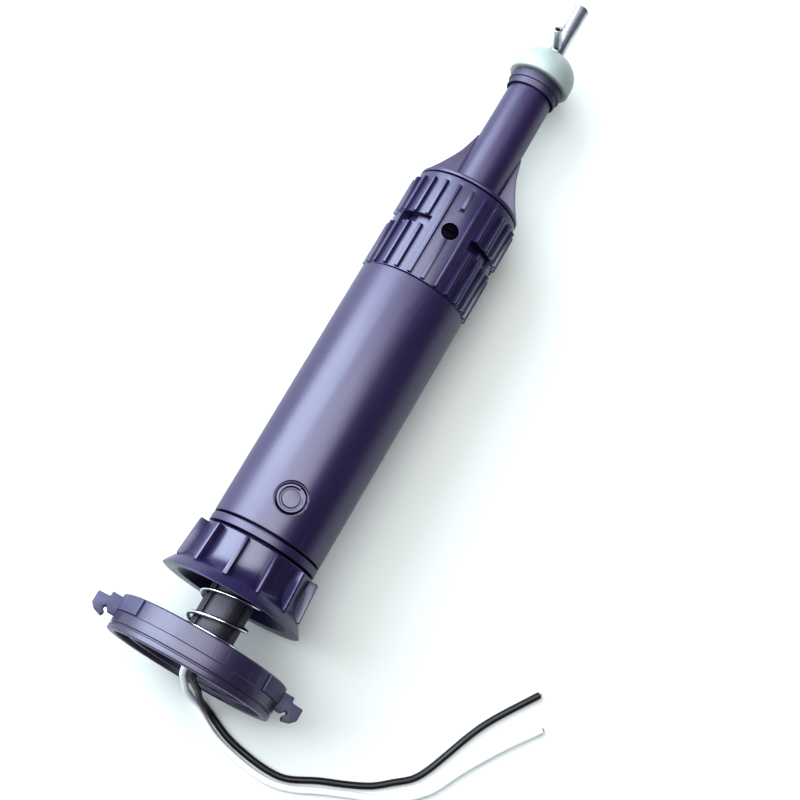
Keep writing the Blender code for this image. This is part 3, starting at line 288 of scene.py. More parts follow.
bm = bmesh.new()
bmesh.ops.create_grid(bm, x_segments=1, y_segments=1, size=BENCH_SIZE / 2)
mesh = bpy.data.meshes.new("bench")
bm.to_mesh(mesh)
bm.free()
bench = add_object("bench", mesh)
paper, tree, shader, place = new_material("smooth white paper")
cloud = add(tree, "ShaderNodeTexNoise", {"Vector": place, "Scale": 1 / 0.12, "Detail": 2.0})
tint = add(
    tree, "ShaderNodeMix", {"Factor": (cloud, "Fac"), "A": linear(PAPER), "B": linear(PAPER_CLOUD)},
    data_type="RGBA",
)
tree.links.new(tint.outputs[2], shader.inputs["Base Color"])
shader.inputs["Roughness"].default_value = 0.9
mesh.materials.append(paper)


def add_panel(name, place, size, power, colour):
    """A soft area light that faces the middle of the tool."""
    data = bpy.data.lights.new(name, "AREA")
    data.shape = "RECTANGLE"
    data.size, data.size_y = size
    data.energy = power
    data.color = linear(colour)[:3]
    made = add_object(name, data)
    made.location = place
    made.rotation_euler = (Vector(LIT_SPOT) - Vector(place)).to_track_quat("-Z", "Y").to_euler()


add_panel("key_soft_box", KEY_PLACE, KEY_SIZE, KEY_POWER, KEY_COLOUR)
add_panel("overhead_panel", PANEL_PLACE, PANEL_SIZE, PANEL_POWER, PANEL_COLOUR)
world = bpy.data.worlds.new("room")
world.use_nodes = True
walls = world.node_tree.nodes["Background"].inputs
walls["Color"].default_value = linear(WALL_COLOUR)
walls["Strength"].default_value = WALL_STRENGTH
bpy.context.scene.world = world
bpy.context.scene.view_settings.view_transform = "Standard"
bpy.context.scene.view_settings.look = "High Contrast"


# The thumb cap is what the user pushes with a thumb: a flat round cup, injection moulded in black ABS. It
# is hollow behind, with a ring and a boss in the hollow, and the shaft is cemented into the boss.
# From here on each piece is drawn in millimetres in the tool's own axes: Z from the cap to the nozzle, X up.
CAP_RADIUS = 22.8
CAP_LENGTH = 9.5
CAP_FRONT_BAND_RADIUS = 22.6
CAP_GROOVE_RADIUS = 22.35
CAP_HOLLOW_RADIUS = 20.6
CAP_FLOOR = 6.5
CAP_RING_REAR = 1.0
CAP_RING_RADII = (16.2, 17.4)
BOSS_RADIUS = 8.5
BOSS_BORE = 3.6
BOSS_REAR = 4.6
SOCKET_RADIUS = 6.5
SOCKET_FLOOR = 5.8
FACETS = 128
NUT_FRONT = 35.3  # the nut's joint is at its front end
CAP_DARK = "#20162f"
CAP_PALE = "#332a47"
ABS_RUBBED = "#6b668c"

places = {joint["name"]: joint.get("pos_m") for joint in frame["joints"]}
axis = (Vector(places["nose_twist"]) - Vector(places["nut_twist"])).normalized()
side = Vector((0, -1, 0))
TOOL = Matrix((side.cross(axis), side, axis)).transposed().to_4x4()
TOOL.translation = Vector(places["nut_twist"]) - axis * NUT_FRONT * 0.001
TOOL_MM = TOOL @ Matrix.Scale(0.001, 4)


def turned(outline, facets=FACETS):
    """Spin (radius, along, rounding) corners about the axis: a plug if they start on it, or else a ring."""
    bm = bmesh.new()
    corners = [bm.verts.new((radius, 0, along)) for radius, along, _ in outline]
    ring = outline[0][0] > 0
    for pair in zip(corners, corners[1:] + corners[:1] if ring else corners[1:]):
        bm.edges.new(pair)
    for rounding in sorted({corner[2] for corner in outline} - {0}):
        chosen = [vert for vert, corner in zip(corners, outline) if corner[2] == rounding]
        bmesh.ops.bevel(
            bm, geom=chosen, offset=rounding, affect="VERTICES", segments=4, profile=0.5, material=-1,
            clamp_overlap=False,
        )
    bmesh.ops.spin(
        bm, geom=bm.verts[:] + bm.edges[:], cent=(0, 0, 0), axis=(0, 0, 1), angle=2 * pi, steps=facets,
        use_merge=True,
    )
    bmesh.ops.remove_doubles(bm, verts=bm.verts, dist=1e-4)
    bmesh.ops.recalc_face_normals(bm, faces=bm.faces)
    return bm


def add_piece(name, bm, finish, edge=0.0):
    """Put a drawn piece in its place on the tool; edge is a fine bevel on its corners, in millimetres."""
    bmesh.ops.transform(bm, verts=bm.verts, matrix=TOOL_MM)
    mesh = bpy.data.meshes.new(name)
    bm.to_mesh(mesh)
    bm.free()
    mesh.shade_smooth()
    mesh.set_sharp_from_angle(angle=radians(32))
    mesh.materials.append(finish)
    made = add_object(name, mesh)
    if edge:
        bevel = made.modifiers.new("edge", "BEVEL")
        bevel.width = edge * 0.001
        bevel.segments = 2
        bevel.limit_method = "ANGLE"
        bevel.angle_limit = radians(40)
        bevel.use_clamp_overlap = False
        bevel.harden_normals = True
    return made


def tool_coordinates(tree, place, stretch=(1, 1, 1)):
    """The place on the surface in the tool's own axes, in metres."""
    back = TOOL.inverted()
    level = add(
        tree, "ShaderNodeMapping",
        {"Vector": place, "Location": back.translation, "Rotation": back.to_euler()},
    )
    return add(tree, "ShaderNodeMapping", {"Vector": (level, "Vector"), "Scale": stretch}), "Vector"


def moulded_abs(name, dark, pale, roughness, grain, wear):
    """Moulded ABS: a satin skin from the polished mould, faint flow marks, handling scuffs, paler edges.

    roughness is the skin's own, grain the height of its texture in millimetres, and wear from 0 to 1.
    """
    made, tree, shader, place = new_material(name)
    around = tool_coordinates(tree, place, (1, 1, 0.25))
    flow = add(tree, "ShaderNodeTexNoise", {"Vector": around, "Scale": 1 / 0.012, "Detail": 3.0})
    scratches = add(
        tree, "ShaderNodeTexNoise",
        {"Vector": tool_coordinates(tree, place, (1, 1, 0.08)), "Scale": 1 / 0.0009, "Detail": 4.0},
    )
    scuffed = add(
        tree, "ShaderNodeMapRange",
        {"Value": (scratches, "Fac"), "From Min": 0.62, "From Max": 0.78, "To Max": wear},
    )
    rounded = add(tree, "ShaderNodeBevel", {"Radius": 0.0004}, samples=4)
    flat = add(tree, "ShaderNodeNewGeometry")
    turn = add(
        tree, "ShaderNodeVectorMath", {0: (rounded, "Normal"), 1: (flat, "Normal")},
        operation="DOT_PRODUCT",
    )
    edge = add(
        tree, "ShaderNodeMapRange",
        {"Value": (turn, "Value"), "From Min": 0.97, "From Max": 0.80, "To Max": 0.6 * wear},
    )
    worn = add(
        tree, "ShaderNodeMath", {0: (scuffed, "Result"), 1: (edge, "Result")},
        operation="MAXIMUM", use_clamp=True,
    )
    skin = add(
        tree, "ShaderNodeMix", {"Factor": (flow, "Fac"), "A": linear(dark), "B": linear(pale)},
        data_type="RGBA",
    )
    rubbed = add(
        tree, "ShaderNodeMix", {"Factor": (worn, "Value"), "A": (skin, 2), "B": linear(ABS_RUBBED)},
        data_type="RGBA",
    )
    gloss = add(
        tree, "ShaderNodeMapRange",
        {"Value": (flow, "Fac"), "From Min": 0.3, "From Max": 0.7,
         "To Min": roughness - 0.04, "To Max": roughness + 0.05},
    )
    rough = add(
        tree, "ShaderNodeMath", {0: (worn, "Value"), 1: 0.25, 2: (gloss, "Result")},
        operation="MULTIPLY_ADD", use_clamp=True,
    )
    pores = add(tree, "ShaderNodeTexNoise", {"Vector": place, "Scale": 1 / 0.0005, "Detail": 3.0})
    waves = add(
        tree, "ShaderNodeMath", {0: (flow, "Fac"), 1: 6.0, 2: (pores, "Fac")}, operation="MULTIPLY_ADD"
    )
    bump = add(
        tree, "ShaderNodeBump", {"Height": (waves, "Value"), "Distance": grain * 0.001, "Strength": 1.0}
    )
    tree.links.new(rubbed.outputs[2], shader.inputs["Base Color"])
    tree.links.new(rough.outputs["Value"], shader.inputs["Roughness"])
    tree.links.new(bump.outputs["Normal"], shader.inputs["Normal"])
    shader.inputs["IOR"].default_value = 1.54
    shader.inputs["Specular IOR Level"].default_value = 1.0
    shader.inputs["Specular Tint"].default_value = linear("#f0f1fa")
    return made


cap_abs = moulded_abs(
    "moulded black ABS, thumb cap", CAP_DARK, CAP_PALE, roughness=0.38, grain=0.010, wear=0.45
)
ring_inner, ring_outer = CAP_RING_RADII
cap = turned([
    (SOCKET_RADIUS, CAP_LENGTH, 0.15), (SOCKET_RADIUS, SOCKET_FLOOR, 0), (BOSS_BORE, SOCKET_FLOOR, 0),
    (BOSS_BORE, BOSS_REAR, 0.15), (BOSS_RADIUS, BOSS_REAR, 0.3), (BOSS_RADIUS, CAP_FLOOR, 0.5),
    (ring_inner, CAP_FLOOR, 0.5), (ring_inner, CAP_RING_REAR, 0.25),
    (ring_outer, CAP_RING_REAR, 0.25), (ring_outer, CAP_FLOOR, 0.5),
    (CAP_HOLLOW_RADIUS, CAP_FLOOR, 0.5), (CAP_HOLLOW_RADIUS, 0.0, 0.4),
    (CAP_RADIUS, 0.0, 0.4), (CAP_RADIUS, 1.55, 0.1), (CAP_GROOVE_RADIUS, 1.65, 0.08),
    (CAP_GROOVE_RADIUS, 2.0, 0.08), (CAP_RADIUS, 2.1, 0.1), (CAP_RADIUS, 4.7, 0.1),
    (CAP_FRONT_BAND_RADIUS, 4.85, 0.05), (CAP_FRONT_BAND_RADIUS, CAP_LENGTH, 0.5),
])
cap = add_piece("thumb_cap", cap, cap_abs)
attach(cap, "plunger")
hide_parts("rear_cap")


# Two hooked ears stand out from the cap's sides, each on a thin pad. They are moulded with the cap, and their
# edges and flats are rubbed dull and grey, because the cap rests and catches on them.
EAR_REACH = 29.0
EAR_WIDTH = 5.0
EAR_ROOT = 21.9
PAD_HALF_ANGLE = 40
PAD_RADII = (22.2, 23.15)
PAD_ALONG = (4.95, 9.2)
EAR_DARK = "#2c2742"
EAR_PALE = "#3d3856"


def sector(inner, outer, rear, front, start, end, soft=0.0):
    """A block bent round the axis, from one angle to another, with its edges softened."""
    bm = bmesh.new()
    corners = [(inner, rear), (outer, rear), (outer, front), (inner, front)]
    face = bm.faces.new([bm.verts.new((radius, 0, along)) for radius, along in corners])
    bmesh.ops.rotate(bm, verts=bm.verts, cent=(0, 0, 0), matrix=Matrix.Rotation(radians(start), 3, "Z"))
    steps = ceil((end - start) / 3)
    bmesh.ops.spin(
        bm, geom=[face], cent=(0, 0, 0), axis=(0, 0, 1), angle=radians(end - start), steps=steps
    )
    bmesh.ops.remove_doubles(bm, verts=bm.verts, dist=1e-4)
    bmesh.ops.recalc_face_normals(bm, faces=bm.faces)
    soften(bm, soft)
    return bm


def soften(bm, width, sharpest=40, segments=2):
    """Round off the edges whose faces meet at more than an angle."""
    if width:
        edges = [e for e in bm.edges if e.is_manifold and e.calc_face_angle() > radians(sharpest)]
        bmesh.ops.bevel(
            bm, geom=edges, offset=width, affect="EDGES", segments=segments, profile=0.5, material=-1,
            clamp_overlap=False,
        )
    return bm


def plate(corners, thickness, soft, rounding=0.0):
    """A flat plate in the plane of the axis and local Y, from (out, along) corners, centred on X = 0."""
    bm = bmesh.new()
    face = bm.faces.new([bm.verts.new((-thickness / 2, out, along)) for out, along in corners])
    if rounding:
        bmesh.ops.bevel(
            bm, geom=face.verts[:], offset=rounding, affect="VERTICES", segments=4, profile=0.5, material=-1
        )
    grown = bmesh.ops.extrude_face_region(bm, geom=bm.faces[:])["geom"]
    moved = [g for g in grown if isinstance(g, bmesh.types.BMVert)]
    bmesh.ops.translate(bm, verts=moved, vec=(thickness, 0, 0))
    bmesh.ops.recalc_face_normals(bm, faces=bm.faces)
    return soften(bm, soft)


def together(pieces):
    """Several bmeshes that don't touch, as one."""
    whole = bmesh.new()
    for piece in pieces:
        mesh = bpy.data.meshes.new("loose")
        piece.to_mesh(mesh)
        whole.from_mesh(mesh)
        piece.free()
        bpy.data.meshes.remove(mesh)
    return whole


def combined(bm, operation, other):
    """One bmesh with another cut from it, or joined to it."""
    objects = []
    for source in (bm, other):
        mesh = bpy.data.meshes.new("loose")
        source.to_mesh(mesh)
        source.free()
        objects.append(add_object("loose", mesh))
    change = objects[0].modifiers.new("change", "BOOLEAN")
    change.operation = operation
    change.solver = "EXACT"
    change.object = objects[1]
    bpy.context.view_layer.update()
    result = bpy.data.meshes.new_from_object(
        objects[0].evaluated_get(bpy.context.evaluated_depsgraph_get())
    )
    whole = bmesh.new()
    whole.from_mesh(result)
    for made in objects:
        mesh = made.data
        bpy.data.objects.remove(made)
        bpy.data.meshes.remove(mesh)
    bpy.data.meshes.remove(result)
    bmesh.ops.remove_doubles(whole, verts=whole.verts, dist=1e-3)
    bmesh.ops.dissolve_degenerate(whole, edges=whole.edges, dist=1e-3)
    return whole


ear_abs = moulded_abs("rubbed black ABS, cap ears", EAR_DARK, EAR_PALE, roughness=0.62, grain=0.05, wear=0.9)
hook = [
    (EAR_ROOT, 8.3), (25.8, 8.3), (25.8, 7.0), (EAR_REACH, 6.8), (EAR_REACH, 3.6), (27.9, 2.5),
    (25.6, 1.8), (25.2, 2.9), (26.1, 3.9), (25.6, 4.6), (24.6, 3.4), (EAR_ROOT, 3.4),
]
ears = []
for way in (1, -1):
    ear = plate([(way * out, along) for out, along in hook], EAR_WIDTH, 0.3)
    pad = sector(*PAD_RADII, *PAD_ALONG, way * 90 - PAD_HALF_ANGLE, way * 90 + PAD_HALF_ANGLE, 0.25)
    ears.append(combined(pad, "UNION", ear))
ears = add_piece("cap_ears", together(ears), ear_abs)
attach(ears, "plunger")
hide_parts("rear_cap")


# The bush is a soft rubber plug with two holes, pressed into the end of the shaft. It keeps the leads from
# chafing on the edge of the cap's boss.
BUSH_RADIUS = 3.3
BUSH_FLANGE_RADIUS = 4.8
BUSH_REAR = 3.7
BUSH_FRONT = 9.1
LEAD_SPREAD = 1.4
LEAD_HOLE_RADIUS = 1.2
RUBBER_BLACK = "#101012"
RUBBER_DUST = "#3a383c"


def moved(bm, matrix):
    """The same bmesh, moved by a matrix."""
    bmesh.ops.transform(bm, verts=bm.verts, matrix=matrix)
    return bm


def rubber(name, colour):
    """Moulded rubber: dull and nearly black, with a dusty, finely pitted skin."""
    made, tree, shader, place = new_material(name)
    pits = add(tree, "ShaderNodeTexNoise", {"Vector": place, "Scale": 1 / 0.0004, "Detail": 3.0})
    dust = add(tree, "ShaderNodeTexNoise", {"Vector": place, "Scale": 1 / 0.003, "Detail": 4.0})
    dusty = add(
        tree, "ShaderNodeMapRange",
        {"Value": (dust, "Fac"), "From Min": 0.45, "From Max": 0.8, "To Max": 0.4},
    )
    tint = add(
        tree, "ShaderNodeMix", {"Factor": (dusty, "Result"), "A": linear(colour), "B": linear(RUBBER_DUST)},
        data_type="RGBA",
    )
    bump = add(tree, "ShaderNodeBump", {"Height": (pits, "Fac"), "Distance": 0.00003, "Strength": 1.0})
    tree.links.new(tint.outputs[2], shader.inputs["Base Color"])
    tree.links.new(bump.outputs["Normal"], shader.inputs["Normal"])
    shader.inputs["Roughness"].default_value = 0.72
    return made


black_rubber = rubber("moulded black rubber", RUBBER_BLACK)
bush = turned([
    (0, BUSH_REAR, 0), (BUSH_FLANGE_RADIUS, BUSH_REAR, 0.2), (BUSH_FLANGE_RADIUS, 4.3, 0.1),
    (BUSH_RADIUS, 4.3, 0), (BUSH_RADIUS, BUSH_FRONT, 0.1), (0, BUSH_FRONT, 0),
], 64)
holes = []
for way in (1, -1):
    hole = turned([(0, 2.0, 0), (LEAD_HOLE_RADIUS, 2.0, 0), (LEAD_HOLE_RADIUS, 11.0, 0), (0, 11.0, 0)], 24)
    holes.append(moved(hole, Matrix.Translation((0, way * LEAD_SPREAD, 0))))
bush = add_piece("bush", combined(bush, "DIFFERENCE", together(holes)), black_rubber, edge=0.08)
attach(bush, "plunger")
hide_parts("lead_bush")


# The shaft carries the piston. It is a fluted tube of black nylon, turned down at the front for the piston,
# with a notch underneath that the latch plate springs into when the plunger is pushed right in.
SHAFT_RADIUS = 6.2
SHAFT_BORE = 3.6
SHAFT_REAR = 6.1
SHAFT_FRONT = 72.4
SHAFT_TAIL_RADIUS = 4.8
GLAND_FRONT = 58.0
FLUTE_DEPTH = 0.7
FLUTE_HALF_ANGLE = 7
NOTCH_PLACE = (-6.15, 0, 37.9)
NOTCH_SIZE = (2.1, 14, 2.8)
NYLON_DARK = "#120e18"
NYLON_PALE = "#1e1824"


def block(centre, size):
    """A rectangular block round its centre."""
    bm = bmesh.new()
    bmesh.ops.create_cube(bm, size=1, matrix=Matrix.Translation(centre) @ Matrix.Diagonal((*size, 1)))
    return bm


shaft_nylon = moulded_abs(
    "moulded black nylon, shaft", NYLON_DARK, NYLON_PALE, roughness=0.55, grain=0.02, wear=0.4
)
shaft = turned([
    (SHAFT_BORE, SHAFT_REAR, 0.2), (SHAFT_RADIUS, SHAFT_REAR, 0.3), (SHAFT_RADIUS, GLAND_FRONT, 0.2),
    (SHAFT_TAIL_RADIUS, GLAND_FRONT, 0), (SHAFT_TAIL_RADIUS, SHAFT_FRONT, 0.3),
    (SHAFT_BORE, SHAFT_FRONT, 0.2),
])
flutes = [
    sector(
        SHAFT_RADIUS - FLUTE_DEPTH, SHAFT_RADIUS + 1, 10.3, GLAND_FRONT - 4,
        mid - FLUTE_HALF_ANGLE, mid + FLUTE_HALF_ANGLE,
    )
    for mid in (45, 135, 225, 315)
]
shaft = combined(shaft, "DIFFERENCE", together(flutes))
shaft = combined(shaft, "DIFFERENCE", block(NOTCH_PLACE, NOTCH_SIZE))
shaft = add_piece("shaft", shaft, shaft_nylon, edge=0.12)
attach(shaft, "plunger")
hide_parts("plunger_shaft")


# Inside, where nothing shows: the plug in the shaft, the piston with its ring and nut, the seals, the latch
# plate and the heater. These stay as the CAD made them, each in the stuff that it is made of.
NYLON_WHITE = "#e9ebe4"
NYLON_SHADE = "#dcdfd6"
ZINC = "#b9bcc2"
CERAMIC_PALE = "#e6e0d2"
CERAMIC_SHADE = "#d4ccb9"


def milky_white(name, colour, shade, roughness, depth):
    """Natural nylon, PTFE or ceramic: milky white, and light passes a little way into it, by depth."""
    made, tree, shader, place = new_material(name)
    cloud = add(tree, "ShaderNodeTexNoise", {"Vector": place, "Scale": 1 / 0.004, "Detail": 3.0})
    tint = add(
        tree, "ShaderNodeMix", {"Factor": (cloud, "Fac"), "A": linear(colour), "B": linear(shade)},
        data_type="RGBA",
    )
    marks = add(tree, "ShaderNodeTexNoise", {"Vector": place, "Scale": 1 / 0.0007, "Detail": 3.0})
    gloss = add(
        tree, "ShaderNodeMapRange",
        {"Value": (marks, "Fac"), "To Min": roughness - 0.08, "To Max": roughness + 0.08},
    )
    bump = add(tree, "ShaderNodeBump", {"Height": (marks, "Fac"), "Distance": 0.00003, "Strength": 0.6})
    tree.links.new(tint.outputs[2], shader.inputs["Base Color"])
    tree.links.new(gloss.outputs["Result"], shader.inputs["Roughness"])
    tree.links.new(bump.outputs["Normal"], shader.inputs["Normal"])
    shader.inputs["Subsurface Weight"].default_value = depth
    shader.inputs["Subsurface Radius"].default_value = (1.0, 0.95, 0.9)
    shader.inputs["Subsurface Scale"].default_value = 0.002
    shader.inputs["IOR"].default_value = 1.5
    return made


piston_nylon = milky_white("moulded natural nylon", NYLON_WHITE, NYLON_SHADE, roughness=0.4, depth=0.2)
plated_steel = drawn_wire("zinc-plated steel", ZINC, roughness=0.32)
ceramic = milky_white("fired ceramic", CERAMIC_PALE, CERAMIC_SHADE, roughness=0.55, depth=0.0)
for finish, nodes in (
    (piston_nylon, ("piston",)),
    (black_rubber, ("piston_seal", "gland_seal", "nose_seal", "lead_plug")),
    (plated_steel, ("piston_nut", "latch_plate")),
    (ceramic, ("heater_sleeve",)),
):
    for name in nodes:
        for slot in frame["nodes"][name].material_slots:
            slot.material = finish


# The suction spring drives the plunger back out: hard-drawn steel wire, wound in three open turns with a
# closed turn at each end. It stands between the cap and the floor of the gland's pocket.
COIL_RADIUS = 7.4
WIRE_RADIUS = 0.5
SPRING_ENDS = (9.8, 32.7)
SPRING_TURNS = 3
SPRING_START = radians(-185)
STEPS_PER_TURN = 48
SPRING_GREY = "#d6d8de"


def wound_spring(name, radius, wire, ends, turns, start, place, finish):
    """A compression spring of round wire along Z, with a closed turn at each end; place makes it metres."""
    closed_rise = 2.3 * wire
    lowest = ends[0] + wire
    open_rise = (ends[1] - wire - lowest - 2 * closed_rise) / turns
    points = []
    for i in range((turns + 2) * STEPS_PER_TURN + 1):
        turn = i / STEPS_PER_TURN - 1
        opened = min(max(turn, 0), turns)
        closed = min(turn, 0) + 1 + max(turn - turns, 0)
        angle = start + 2 * pi * turn
        rise = lowest + opened * open_rise + closed * closed_rise
        points.append(place @ Vector((radius * cos(angle), radius * sin(angle), rise)))
    wound = add_object("wound", round_curve(name, points, wire * 0.001, 3))
    bpy.context.view_layer.update()
    mesh = bpy.data.meshes.new_from_object(wound.evaluated_get(bpy.context.evaluated_depsgraph_get()))
    bpy.data.objects.remove(wound)
    mesh.name = name
    mesh.shade_smooth()
    mesh.materials.clear()
    mesh.materials.append(finish)
    return add_object(name, mesh)


spring_steel = drawn_wire("hard-drawn spring steel", SPRING_GREY, roughness=0.2)
coil = wound_spring(
    "suction_coil", COIL_RADIUS, WIRE_RADIUS, SPRING_ENDS, SPRING_TURNS, SPRING_START, TOOL_MM, spring_steel
)
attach(coil, "barrel")
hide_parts("suction_spring")
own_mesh(coil)


# The gland closes the back of the barrel. It is a black ABS plug cemented in as far as its thin band; its
# neck has a pocket for the spring and three lugs for the guard nut, and it holds the latch plate.
BARREL_RADIUS = 15.0
GLAND_REAR = 26.0
GLAND_NECK_RADIUS = 11.4
GLAND_BAND = (35.9, 38.0)
GLAND_PLUG_RADIUS = 12.3
GLAND_BORE = 6.5
SPRING_POCKET_RADIUS = 9.0
SPRING_POCKET_FLOOR = 33.0
SEAL_GROOVE_RADIUS = 8.4
SEAL_GROOVE = (52.0, 54.4)
GLAND_LUG_ANGLES = (0, 120, 240)
GLAND_LUG_HALF_ANGLE = 15
LATCH_AT = 48.4
LATCH_SLOT_SIZE = (27.2, 19.6, 2.8)
ABS_DARK = "#1e1036"
ABS_PALE = "#2c1d48"
UPRIGHT = Matrix.Translation((0, 0, LATCH_AT)) @ Matrix.Rotation(pi / 2, 4, "Y")

gland_abs = moulded_abs(
    "moulded black ABS, gland", ABS_DARK, ABS_PALE, roughness=0.42, grain=0.008, wear=0.2
)
band_rear, band_front = GLAND_BAND
groove_rear, groove_front = SEAL_GROOVE
gland = turned([
    (SPRING_POCKET_RADIUS, GLAND_REAR, 0.3), (GLAND_NECK_RADIUS, GLAND_REAR, 0.3),
    (GLAND_NECK_RADIUS, band_rear, 0), (BARREL_RADIUS, band_rear, 0.15),
    (BARREL_RADIUS, band_front, 0.15), (GLAND_PLUG_RADIUS, band_front, 0),
    (GLAND_PLUG_RADIUS, GLAND_FRONT, 0.3), (GLAND_BORE, GLAND_FRONT, 0.2),
    (GLAND_BORE, groove_front, 0), (SEAL_GROOVE_RADIUS, groove_front, 0),
    (SEAL_GROOVE_RADIUS, groove_rear, 0), (GLAND_BORE, groove_rear, 0),
    (GLAND_BORE, SPRING_POCKET_FLOOR, 0.2), (SPRING_POCKET_RADIUS, SPRING_POCKET_FLOOR, 0.2),
])
gland_lugs = [
    sector(10.8, 12.9, 28.5, 31.0, mid - GLAND_LUG_HALF_ANGLE, mid + GLAND_LUG_HALF_ANGLE, 0.2)
    for mid in GLAND_LUG_ANGLES
]
gland = combined(gland, "UNION", together(gland_lugs))
gland = combined(gland, "DIFFERENCE", block((0, 0, LATCH_AT), LATCH_SLOT_SIZE))
button_pocket = turned([(0, 8.4, 0), (4.8, 8.4, 0), (4.8, 14.0, 0), (0, 14.0, 0)], 48)
gland = combined(gland, "DIFFERENCE", moved(button_pocket, UPRIGHT))
gland = add_piece("gland", gland, gland_abs)
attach(gland, "barrel")
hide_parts("rear_gland")


# A small spring of the same steel stands between the bottom of the barrel's bore and the latch plate. It
# holds the plate up against the shaft, and gives way as the button is pressed.
LATCH_COIL_RADIUS = 0.9
LATCH_WIRE_RADIUS = 0.2
LATCH_COIL_ENDS = (-12.3, -9.1)
LATCH_COIL_TURNS = 2

latch_coil = wound_spring(
    "latch_coil", LATCH_COIL_RADIUS, LATCH_WIRE_RADIUS, LATCH_COIL_ENDS, LATCH_COIL_TURNS, 0,
    TOOL_MM @ UPRIGHT, spring_steel,
)
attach(latch_coil, "barrel")
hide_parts("latch_spring")
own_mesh(latch_coil)


# The barrel is the pump's cylinder: a smooth tube of black ABS, moulded with a polished bore. It has a round
# recess for the button, and a thinner spigot in front with four bayonet lugs for the collar.
BARREL_BORE = 12.6
BARREL_REAR = 38.6
BARREL_FRONT = 113.2
BORE_FRONT = 108.0
SPIGOT_RADIUS = 11.9
SPIGOT_BORE = 10.4
SPIGOT_FRONT = 130.9
QUARTERS = (0, 90, 180, 270)
BUTTON_RECESS_RADIUS = 4.4
BUTTON_RECESS_FLOOR = 13.7
BUTTON_HOLE_RADIUS = 4.0
BUTTON_HOLE_FLOOR = 11.6
SCREW_TRACK_ANGLES = (-8.7, 28.7)

barrel_abs = moulded_abs(
    "moulded black ABS, barrel", ABS_DARK, ABS_PALE, roughness=0.38, grain=0.006, wear=0.15
)
barrel = turned([
    (BARREL_BORE, BARREL_REAR, 0.2), (BARREL_RADIUS, BARREL_REAR, 0.3), (BARREL_RADIUS, BARREL_FRONT, 0.3),
    (SPIGOT_RADIUS, BARREL_FRONT, 0), (SPIGOT_RADIUS, SPIGOT_FRONT, 0.2), (SPIGOT_BORE, SPIGOT_FRONT, 0.2),
    (SPIGOT_BORE, BORE_FRONT, 0.2), (BARREL_BORE, BORE_FRONT, 0.5),
])
barrel_lugs = [
    sector(11.3, 13.3, 127.5, 129.9, quarter + 46.5, quarter + 64.5, 0.2) for quarter in QUARTERS
]
barrel = combined(barrel, "UNION", together(barrel_lugs))
for radius, floor in (
    (BUTTON_RECESS_RADIUS, BUTTON_RECESS_FLOOR),
    (BUTTON_HOLE_RADIUS, BUTTON_HOLE_FLOOR),
):
    sunk = turned([(0, floor, 0), (radius, floor, 0), (radius, 16.0, 0), (0, 16.0, 0)], 64)
    barrel = combined(barrel, "DIFFERENCE", moved(sunk, UPRIGHT))
barrel = combined(barrel, "DIFFERENCE", sector(10.5, 12.9, 127.3, 130.1, *SCREW_TRACK_ANGLES))
barrel = add_piece("barrel_shell", barrel, barrel_abs, edge=0.1)
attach(barrel, "barrel")
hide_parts("barrel_tube")


# The release button is a moulded black ABS stud with a flange underneath that keeps it in. Its top has a
# raised lip, open on one side, round a flat disc; pressing it lets the latch plate go.
BUTTON_RADIUS = 3.7
BUTTON_FLANGE_RADIUS = 4.5
BUTTON_FLANGE = (10.5, 11.7)
LIP_INNER_RADIUS = 2.95
LIP_TOP = 14.58
CHANNEL_FLOOR = 13.2
DISC_RADIUS = 2.3
DISC_TOP = 14.0
LIP_GAP_ANGLES = (115, 165)
BUTTON_PALE = "#34294f"

button_abs = moulded_abs(
    "moulded black ABS, button", ABS_DARK, BUTTON_PALE, roughness=0.34, grain=0.008, wear=0.5
)
flange_bottom, flange_top = BUTTON_FLANGE
button = turned([
    (0, flange_bottom, 0), (BUTTON_FLANGE_RADIUS, flange_bottom, 0.1),
    (BUTTON_FLANGE_RADIUS, flange_top, 0.1), (BUTTON_RADIUS, flange_top, 0),
    (BUTTON_RADIUS, LIP_TOP, 0.25), (LIP_INNER_RADIUS, LIP_TOP, 0.15),
    (LIP_INNER_RADIUS, CHANNEL_FLOOR, 0.1), (DISC_RADIUS, CHANNEL_FLOOR, 0.1),
    (DISC_RADIUS, DISC_TOP, 0.12), (0, DISC_TOP, 0),
], 96)
gap = sector(2.4, 4.4, CHANNEL_FLOOR + 0.02, 15.0, *LIP_GAP_ANGLES)
button = moved(combined(button, "DIFFERENCE", gap), UPRIGHT)
button = add_piece("button_stud", button, button_abs, edge=0.06)
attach(button, "button")
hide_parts("release_button")


# The guard nut keeps fingers off the shaft and turns on the gland's lugs. It is moulded in black ABS: a bell
# with a wide flat rim behind, and twelve thin ribs for grip with hollows between them.
NUT_BORE = 11.7
NUT_RADIUS = 15.2
NUT_RIM_RADIUS = 19.6
LUG_TRACK_RADIUS = 13.2
LUG_TRACK = (28.2, 31.3)
NUT_ENTRY_ANGLES = (45, 165, 285)
NUT_ENTRY_HALF_ANGLE = 18
NUT_RIBS = 12
NUT_RIB_WIDTH = 1.3
NUT_RIB_ENDS = (23.9, 34.7)
NUT_DARK = "#1a1236"
NUT_PALE = "#2a2148"

